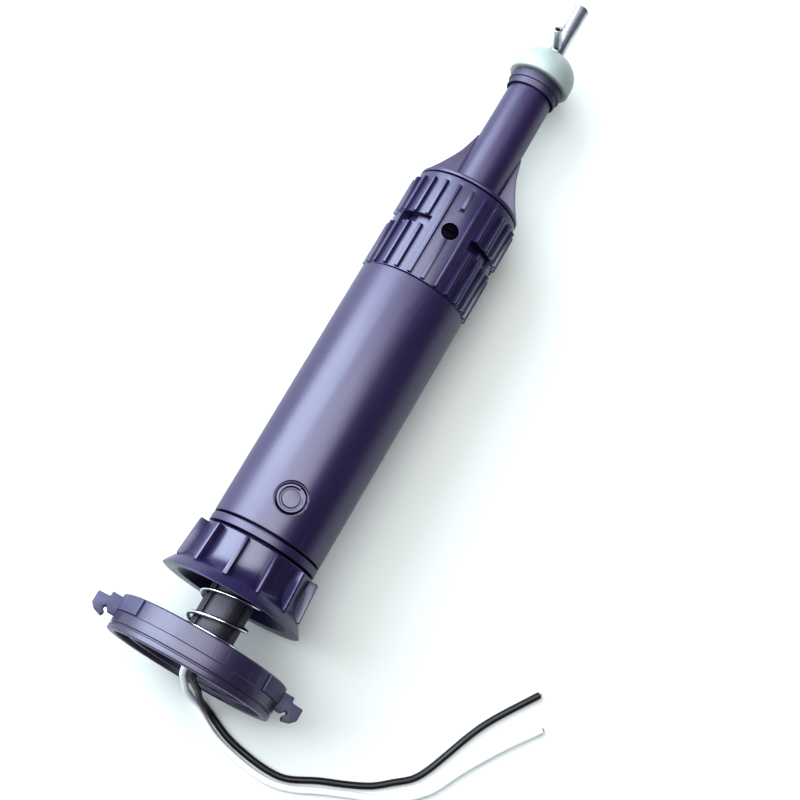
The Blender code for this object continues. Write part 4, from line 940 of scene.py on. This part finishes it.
nut_abs = moulded_abs(
    "moulded black ABS, guard nut", NUT_DARK, NUT_PALE, roughness=0.30, grain=0.012, wear=0.35
)
track_rear, track_front = LUG_TRACK
nut = turned([
    (NUT_BORE, NUT_FRONT, 0.1), (NUT_BORE, track_front, 0), (LUG_TRACK_RADIUS, track_front, 0),
    (LUG_TRACK_RADIUS, track_rear, 0), (NUT_BORE, track_rear, 0), (NUT_BORE, 26.0, 0.2),
    (14.6, 22.6, 0.6), (15.6, 21.3, 0.25), (NUT_RIM_RADIUS, 21.0, 0.15), (18.9, 22.2, 0.3),
    (17.8, 23.8, 0.5), (16.3, 25.2, 0.7), (15.5, 27.2, 0.9), (NUT_RADIUS, 29.4, 1.0),
    (NUT_RADIUS, 34.9, 0.1), (14.8, NUT_FRONT, 0.1),
], 144)
rib_rear, rib_front = NUT_RIB_ENDS
ribs = []
for i in range(NUT_RIBS):
    rib = plate(
        [(14.6, rib_rear), (18.1, rib_rear), (17.4, rib_front), (14.6, rib_front)], NUT_RIB_WIDTH, 0.35
    )
    ribs.append(moved(rib, Matrix.Rotation(2 * pi * (i + 0.5) / NUT_RIBS - pi / 2, 4, "Z")))
nut = combined(nut, "UNION", together(ribs))
entries = [
    sector(11.1, LUG_TRACK_RADIUS, 30.7, 36.3, mid - NUT_ENTRY_HALF_ANGLE, mid + NUT_ENTRY_HALF_ANGLE)
    for mid in NUT_ENTRY_ANGLES
]
nut = add_piece("bell_nut", combined(nut, "DIFFERENCE", together(entries)), nut_abs)
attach(nut, "nut")
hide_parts("guard_nut")


# The collar clamps the nose to the barrel. It is moulded in black ABS with two rows of narrow ribs, four
# slots between the rows where the barrel's lugs show, and a hole for the lock screw.
COLLAR_RADIUS = 14.4
COLLAR_BORE = 12.2
COLLAR_REAR = 113.5
COLLAR_FRONT = 143.0
RIB_ROOT = 13.8
RIB_TOP = 15.4
RIB_WIDTH = 1.1
RIB_COUNT = 24
RIB_ROWS = ((113.7, 127.4), (130.0, 141.4))
SCREW_AT = 128.7
SCREW_RIB_ROWS = ((113.7, 126.6), (135.2, 141.4))
SCREW_HOLE_RADIUS = 2.3
PIT_PLACE = (14.4, 0, 134.6)
PIT_SIZE = (1.4, 1.6, 1.2)
COLLAR_DARK = "#1b1338"
COLLAR_PALE = "#2b2249"
SCREW_PLACE = Matrix.Translation((0, 0, SCREW_AT)) @ Matrix.Rotation(pi / 2, 4, "Y")

collar_abs = moulded_abs(
    "moulded black ABS, collar", COLLAR_DARK, COLLAR_PALE, roughness=0.36, grain=0.012, wear=0.4
)
collar = turned([
    (COLLAR_BORE, COLLAR_REAR, 0.2), (COLLAR_RADIUS, COLLAR_REAR, 0.25),
    (COLLAR_RADIUS, COLLAR_FRONT, 0.3), (COLLAR_BORE, COLLAR_FRONT, 0.2),
], 144)
ribs = []
for i in range(RIB_COUNT):
    degrees = 360 * i / RIB_COUNT
    rows = RIB_ROWS
    if min(degrees, 360 - degrees) < 23:  # no slot here, so the rib runs through
        rows = ((RIB_ROWS[0][0], RIB_ROWS[1][1]),)
    if i == 0:
        rows = SCREW_RIB_ROWS
    for rear, front in rows:
        rib = plate(
            [(RIB_ROOT, rear), (RIB_TOP, rear + 0.15), (RIB_TOP, front - 0.5), (RIB_ROOT, front)],
            RIB_WIDTH, 0.22,
        )
        ribs.append(moved(rib, Matrix.Rotation(radians(degrees) - pi / 2, 4, "Z")))
collar = combined(collar, "UNION", together(ribs))
slots = [sector(11.2, 16.4, 127.2, 130.2, quarter + 24, quarter + 66) for quarter in QUARTERS]
collar = combined(collar, "DIFFERENCE", together(slots))
entries = [sector(11.2, 13.6, 112.5, 128.2, quarter + 25, quarter + 46) for quarter in QUARTERS]
collar = combined(collar, "DIFFERENCE", together(entries))
hole = turned([(0, 11.2, 0), (SCREW_HOLE_RADIUS, 11.2, 0), (SCREW_HOLE_RADIUS, 16.4, 0), (0, 16.4, 0)], 48)
collar = combined(collar, "DIFFERENCE", moved(hole, SCREW_PLACE))
collar = combined(collar, "DIFFERENCE", block(PIT_PLACE, PIT_SIZE))
collar = add_piece("collar", collar, collar_abs)
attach(collar, "nose")
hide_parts("grip_collar")


# The lock screw is a small slotted grub screw in blackened steel. Its tip runs in the spigot's track and
# stops the collar from turning off.
SCREW_RADIUS = 2.0
SCREW_TIP_RADIUS = 1.1
SCREW_TOP = 14.1
DRIVER_SLOT_PLACE = (14.0, 0, SCREW_AT)
DRIVER_SLOT_SIZE = (1.0, 5.0, 0.6)
STEEL_BLACK = "#131019"


def blackened_steel(name, colour):
    """Heat-blackened steel: nearly black, with an oily, broken shine."""
    made, tree, shader, place = new_material(name)
    film = add(tree, "ShaderNodeTexNoise", {"Vector": place, "Scale": 1 / 0.0015, "Detail": 4.0})
    gloss = add(tree, "ShaderNodeMapRange", {"Value": (film, "Fac"), "To Min": 0.3, "To Max": 0.6})
    bump = add(tree, "ShaderNodeBump", {"Height": (film, "Fac"), "Distance": 0.00003, "Strength": 0.8})
    tree.links.new(gloss.outputs["Result"], shader.inputs["Roughness"])
    tree.links.new(bump.outputs["Normal"], shader.inputs["Normal"])
    shader.inputs["Base Color"].default_value = linear(colour)
    shader.inputs["Metallic"].default_value = 1.0
    return made


black_steel = blackened_steel("heat-blackened steel", STEEL_BLACK)
screw = turned([
    (0, 11.1, 0), (SCREW_TIP_RADIUS, 11.1, 0.1), (SCREW_TIP_RADIUS, 12.5, 0), (SCREW_RADIUS, 12.5, 0),
    (SCREW_RADIUS, SCREW_TOP, 0.25), (0, SCREW_TOP, 0),
], 48)
screw = combined(moved(screw, SCREW_PLACE), "DIFFERENCE", block(DRIVER_SLOT_PLACE, DRIVER_SLOT_SIZE))
screw = add_piece("grub_screw", screw, black_steel, edge=0.05)
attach(screw, "nose")
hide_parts("lock_screw")


# The nose is one black ABS moulding: a plug for the collar, a shoulder, and a long thin neck that holds the
# heater and tube. Two curved fins, thick at the rim and thin in the web, brace the neck.
PLUG_RADIUS = 10.1
PLUG_BORE = 7.0
PLUG_REAR = 123.9
NOSE_GROOVE_RADIUS = 8.6
NOSE_GROOVE = (126.1, 128.5)
SHOULDER_REAR = 143.3
NECK_RADIUS = 6.35
NECK_BORE = 3.6
NECK_FRONT = 180.0
FIN_THICKNESS = 1.2
FIN_RIM = 0.9
FIN_WEB_DEPTH = 0.22

nose_abs = moulded_abs("moulded black ABS, nose", ABS_DARK, ABS_PALE, roughness=0.38, grain=0.010, wear=0.2)
groove_rear, groove_front = NOSE_GROOVE
nose = turned([
    (PLUG_BORE, PLUG_REAR, 0.2), (PLUG_RADIUS, PLUG_REAR, 0.2), (PLUG_RADIUS, groove_rear, 0),
    (NOSE_GROOVE_RADIUS, groove_rear, 0), (NOSE_GROOVE_RADIUS, groove_front, 0),
    (PLUG_RADIUS, groove_front, 0), (PLUG_RADIUS, 131.5, 0), (SPIGOT_RADIUS, 131.5, 0.2),
    (SPIGOT_RADIUS, SHOULDER_REAR, 0), (COLLAR_RADIUS, SHOULDER_REAR, 0.2), (COLLAR_RADIUS, 144.4, 0.35),
    (7.6, 144.8, 0.5), (6.6, 146.4, 0.8), (NECK_RADIUS, NECK_FRONT, 0.2), (NECK_BORE, NECK_FRONT, 0.2),
    (NECK_BORE, 147.4, 0), (PLUG_BORE, 140.3, 0),
])
fin_edge = [
    (5.4, 143.6), (14.2, 143.6), (14.2, 144.8), (13.1, 146.6), (11.6, 149.0), (10.6, 150.8), (9.8, 152.3),
    (9.0, 154.0), (8.35, 155.4), (7.7, 157.6), (7.1, 159.8), (6.7, 161.4), (5.4, 161.4),
]
fins = []
for way in (1, -1):
    fin = plate([(way * out, along) for out, along in fin_edge], FIN_THICKNESS, 0)
    broad = [face for face in fin.faces if abs(face.normal.x) > 0.9]
    bmesh.ops.inset_region(fin, faces=broad, thickness=FIN_RIM, depth=0)
    for face in broad:
        bmesh.ops.translate(fin, verts=face.verts, vec=face.normal * -FIN_WEB_DEPTH)
    fins.append(soften(fin, 0.12, 60))
nose = add_piece("nose", combined(nose, "UNION", together(fins)), nose_abs)
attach(nose, "nose")
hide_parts("nose_cone")


# The ring snaps over the end of the neck and holds the nozzle's seat by its stem: black ABS, stepped, with a
# thin lip behind.
RING_RADIUS = 7.5
RING_LIP_RADIUS = 7.1
RING_BORE = 6.65
RING_REAR = 178.6
RING_STEP = 180.5
RING_FRONT = 182.9
STEM_HOLE_RADIUS = 5.35
RING_DARK = "#190f2e"
RING_PALE = "#221839"

ring_abs = moulded_abs(
    "moulded black ABS, ring", RING_DARK, RING_PALE, roughness=0.52, grain=0.010, wear=0.3
)
ring = turned([
    (RING_BORE, RING_REAR, 0.1), (RING_LIP_RADIUS, RING_REAR, 0.12), (RING_LIP_RADIUS, RING_STEP, 0.1),
    (RING_RADIUS, RING_STEP, 0.15), (RING_RADIUS, RING_FRONT, 0.25), (STEM_HOLE_RADIUS, RING_FRONT, 0.1),
    (STEM_HOLE_RADIUS, 182.0, 0), (RING_BORE, 182.0, 0),
], 96)
ring = add_piece("snap_ring", ring, ring_abs)
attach(ring, "nose")
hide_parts("neck_ring")


# The seat keeps the hot tube off the neck: a domed collar turned from PTFE, which is milky and lets a little
# light through.
SEAT_RADIUS = 8.8
SEAT_BORE = 2.4
SEAT_REAR = 183.2
SEAT_FRONT = 192.4
SEAT_STEM_RADIUS = 5.05
SEAT_FOOT_REAR = 180.3
SEAT_FOOT_FRONT = 181.7
PTFE_WHITE = "#9ca5a2"
PTFE_SHADE = "#919a96"

ptfe = milky_white("turned PTFE", PTFE_WHITE, PTFE_SHADE, roughness=0.38, depth=0.45)
seat = turned([
    (SEAT_BORE, SEAT_FOOT_REAR, 0), (NECK_RADIUS, SEAT_FOOT_REAR, 0.1), (NECK_RADIUS, SEAT_FOOT_FRONT, 0),
    (SEAT_STEM_RADIUS, SEAT_FOOT_FRONT, 0), (SEAT_STEM_RADIUS, SEAT_REAR, 0), (SEAT_RADIUS, SEAT_REAR, 0.6),
    (SEAT_RADIUS, 186.8, 0.9), (8.0, 189.2, 0.9), (6.2, 191.2, 0.9), (4.2, 192.2, 0.6),
    (SEAT_BORE, SEAT_FRONT, 0.2),
], 96)
seat = add_piece("ptfe_seat", seat, ptfe)
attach(seat, "nose")
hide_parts("nozzle_seat")


# The suction tube is drawn stainless steel with a rounded mouth, and the short side tube is a thinner one
# brazed into it. Both have lengthwise draw lines, and heat has dulled them.
TUBE_RADIUS = 2.1
TUBE_BORE = 1.3
TUBE_REAR = 150.5
TUBE_FRONT = 209.0
BRANCH_RADIUS = 1.15
BRANCH_BORE = 0.6
BRANCH_LENGTH = 8.3
BRANCH_AT = 194.0
BRANCH_TURN = -20
BRANCH_LEAN = 73
STAINLESS = "#c3c6cc"
STAINLESS_STAINED = "#8e8f96"
BRANCH_PLACE = (
    Matrix.Translation((0, 0, BRANCH_AT))
    @ (Matrix.Rotation(radians(BRANCH_TURN), 4, "Z") @ Matrix.Rotation(radians(BRANCH_LEAN), 4, "Y"))
)


def drawn_stainless(name, colour, stained):
    """Drawn stainless tube: a grey shine in fine lengthwise lines, a little darkened by heat."""
    made, tree, shader, place = new_material(name)
    lines = add(
        tree, "ShaderNodeTexNoise",
        {"Vector": tool_coordinates(tree, place, (1, 1, 0.03)), "Scale": 1 / 0.0002, "Detail": 3.0},
    )
    stains = add(tree, "ShaderNodeTexNoise", {"Vector": place, "Scale": 1 / 0.004, "Detail": 4.0})
    stain = add(tree, "ShaderNodeMapRange", {"Value": (stains, "Fac"), "From Min": 0.4, "From Max": 0.75})
    tint = add(
        tree, "ShaderNodeMix", {"Factor": (stain, "Result"), "A": linear(colour), "B": linear(stained)},
        data_type="RGBA",
    )
    gloss = add(tree, "ShaderNodeMapRange", {"Value": (lines, "Fac"), "To Min": 0.2, "To Max": 0.42})
    bump = add(tree, "ShaderNodeBump", {"Height": (lines, "Fac"), "Distance": 0.00002, "Strength": 0.7})
    tree.links.new(tint.outputs[2], shader.inputs["Base Color"])
    tree.links.new(gloss.outputs["Result"], shader.inputs["Roughness"])
    tree.links.new(bump.outputs["Normal"], shader.inputs["Normal"])
    shader.inputs["Metallic"].default_value = 1.0
    return made


stainless = drawn_stainless("drawn stainless steel", STAINLESS, STAINLESS_STAINED)
tube = turned([
    (TUBE_BORE, TUBE_REAR, 0.1), (TUBE_RADIUS, TUBE_REAR, 0.1), (TUBE_RADIUS, TUBE_FRONT, 0.35),
    (TUBE_BORE, TUBE_FRONT, 0.2),
], 64)
port = turned([(0, 0, 0), (BRANCH_BORE, 0, 0), (BRANCH_BORE, BRANCH_LENGTH, 0), (0, BRANCH_LENGTH, 0)], 24)
tube = combined(tube, "DIFFERENCE", moved(port, BRANCH_PLACE))
tube = add_piece("nozzle_tube", tube, stainless)
branch = turned([
    (BRANCH_BORE, 0, 0), (BRANCH_RADIUS, 0, 0), (BRANCH_RADIUS, BRANCH_LENGTH, 0.15),
    (BRANCH_BORE, BRANCH_LENGTH, 0.1),
], 32)
core_radius = TUBE_RADIUS + 0.05  # a hair over the tube's own, so that the branch stops short of it
core = turned([
    (0, TUBE_REAR, 0), (core_radius, TUBE_REAR, 0), (core_radius, TUBE_FRONT, 0), (0, TUBE_FRONT, 0),
], 64)
branch = combined(moved(branch, BRANCH_PLACE), "DIFFERENCE", core)
branch = add_piece("branch_tube", branch, stainless)
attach(tube, "nose")
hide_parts("suction_tube")
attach(branch, "nose")
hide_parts("side_tube")
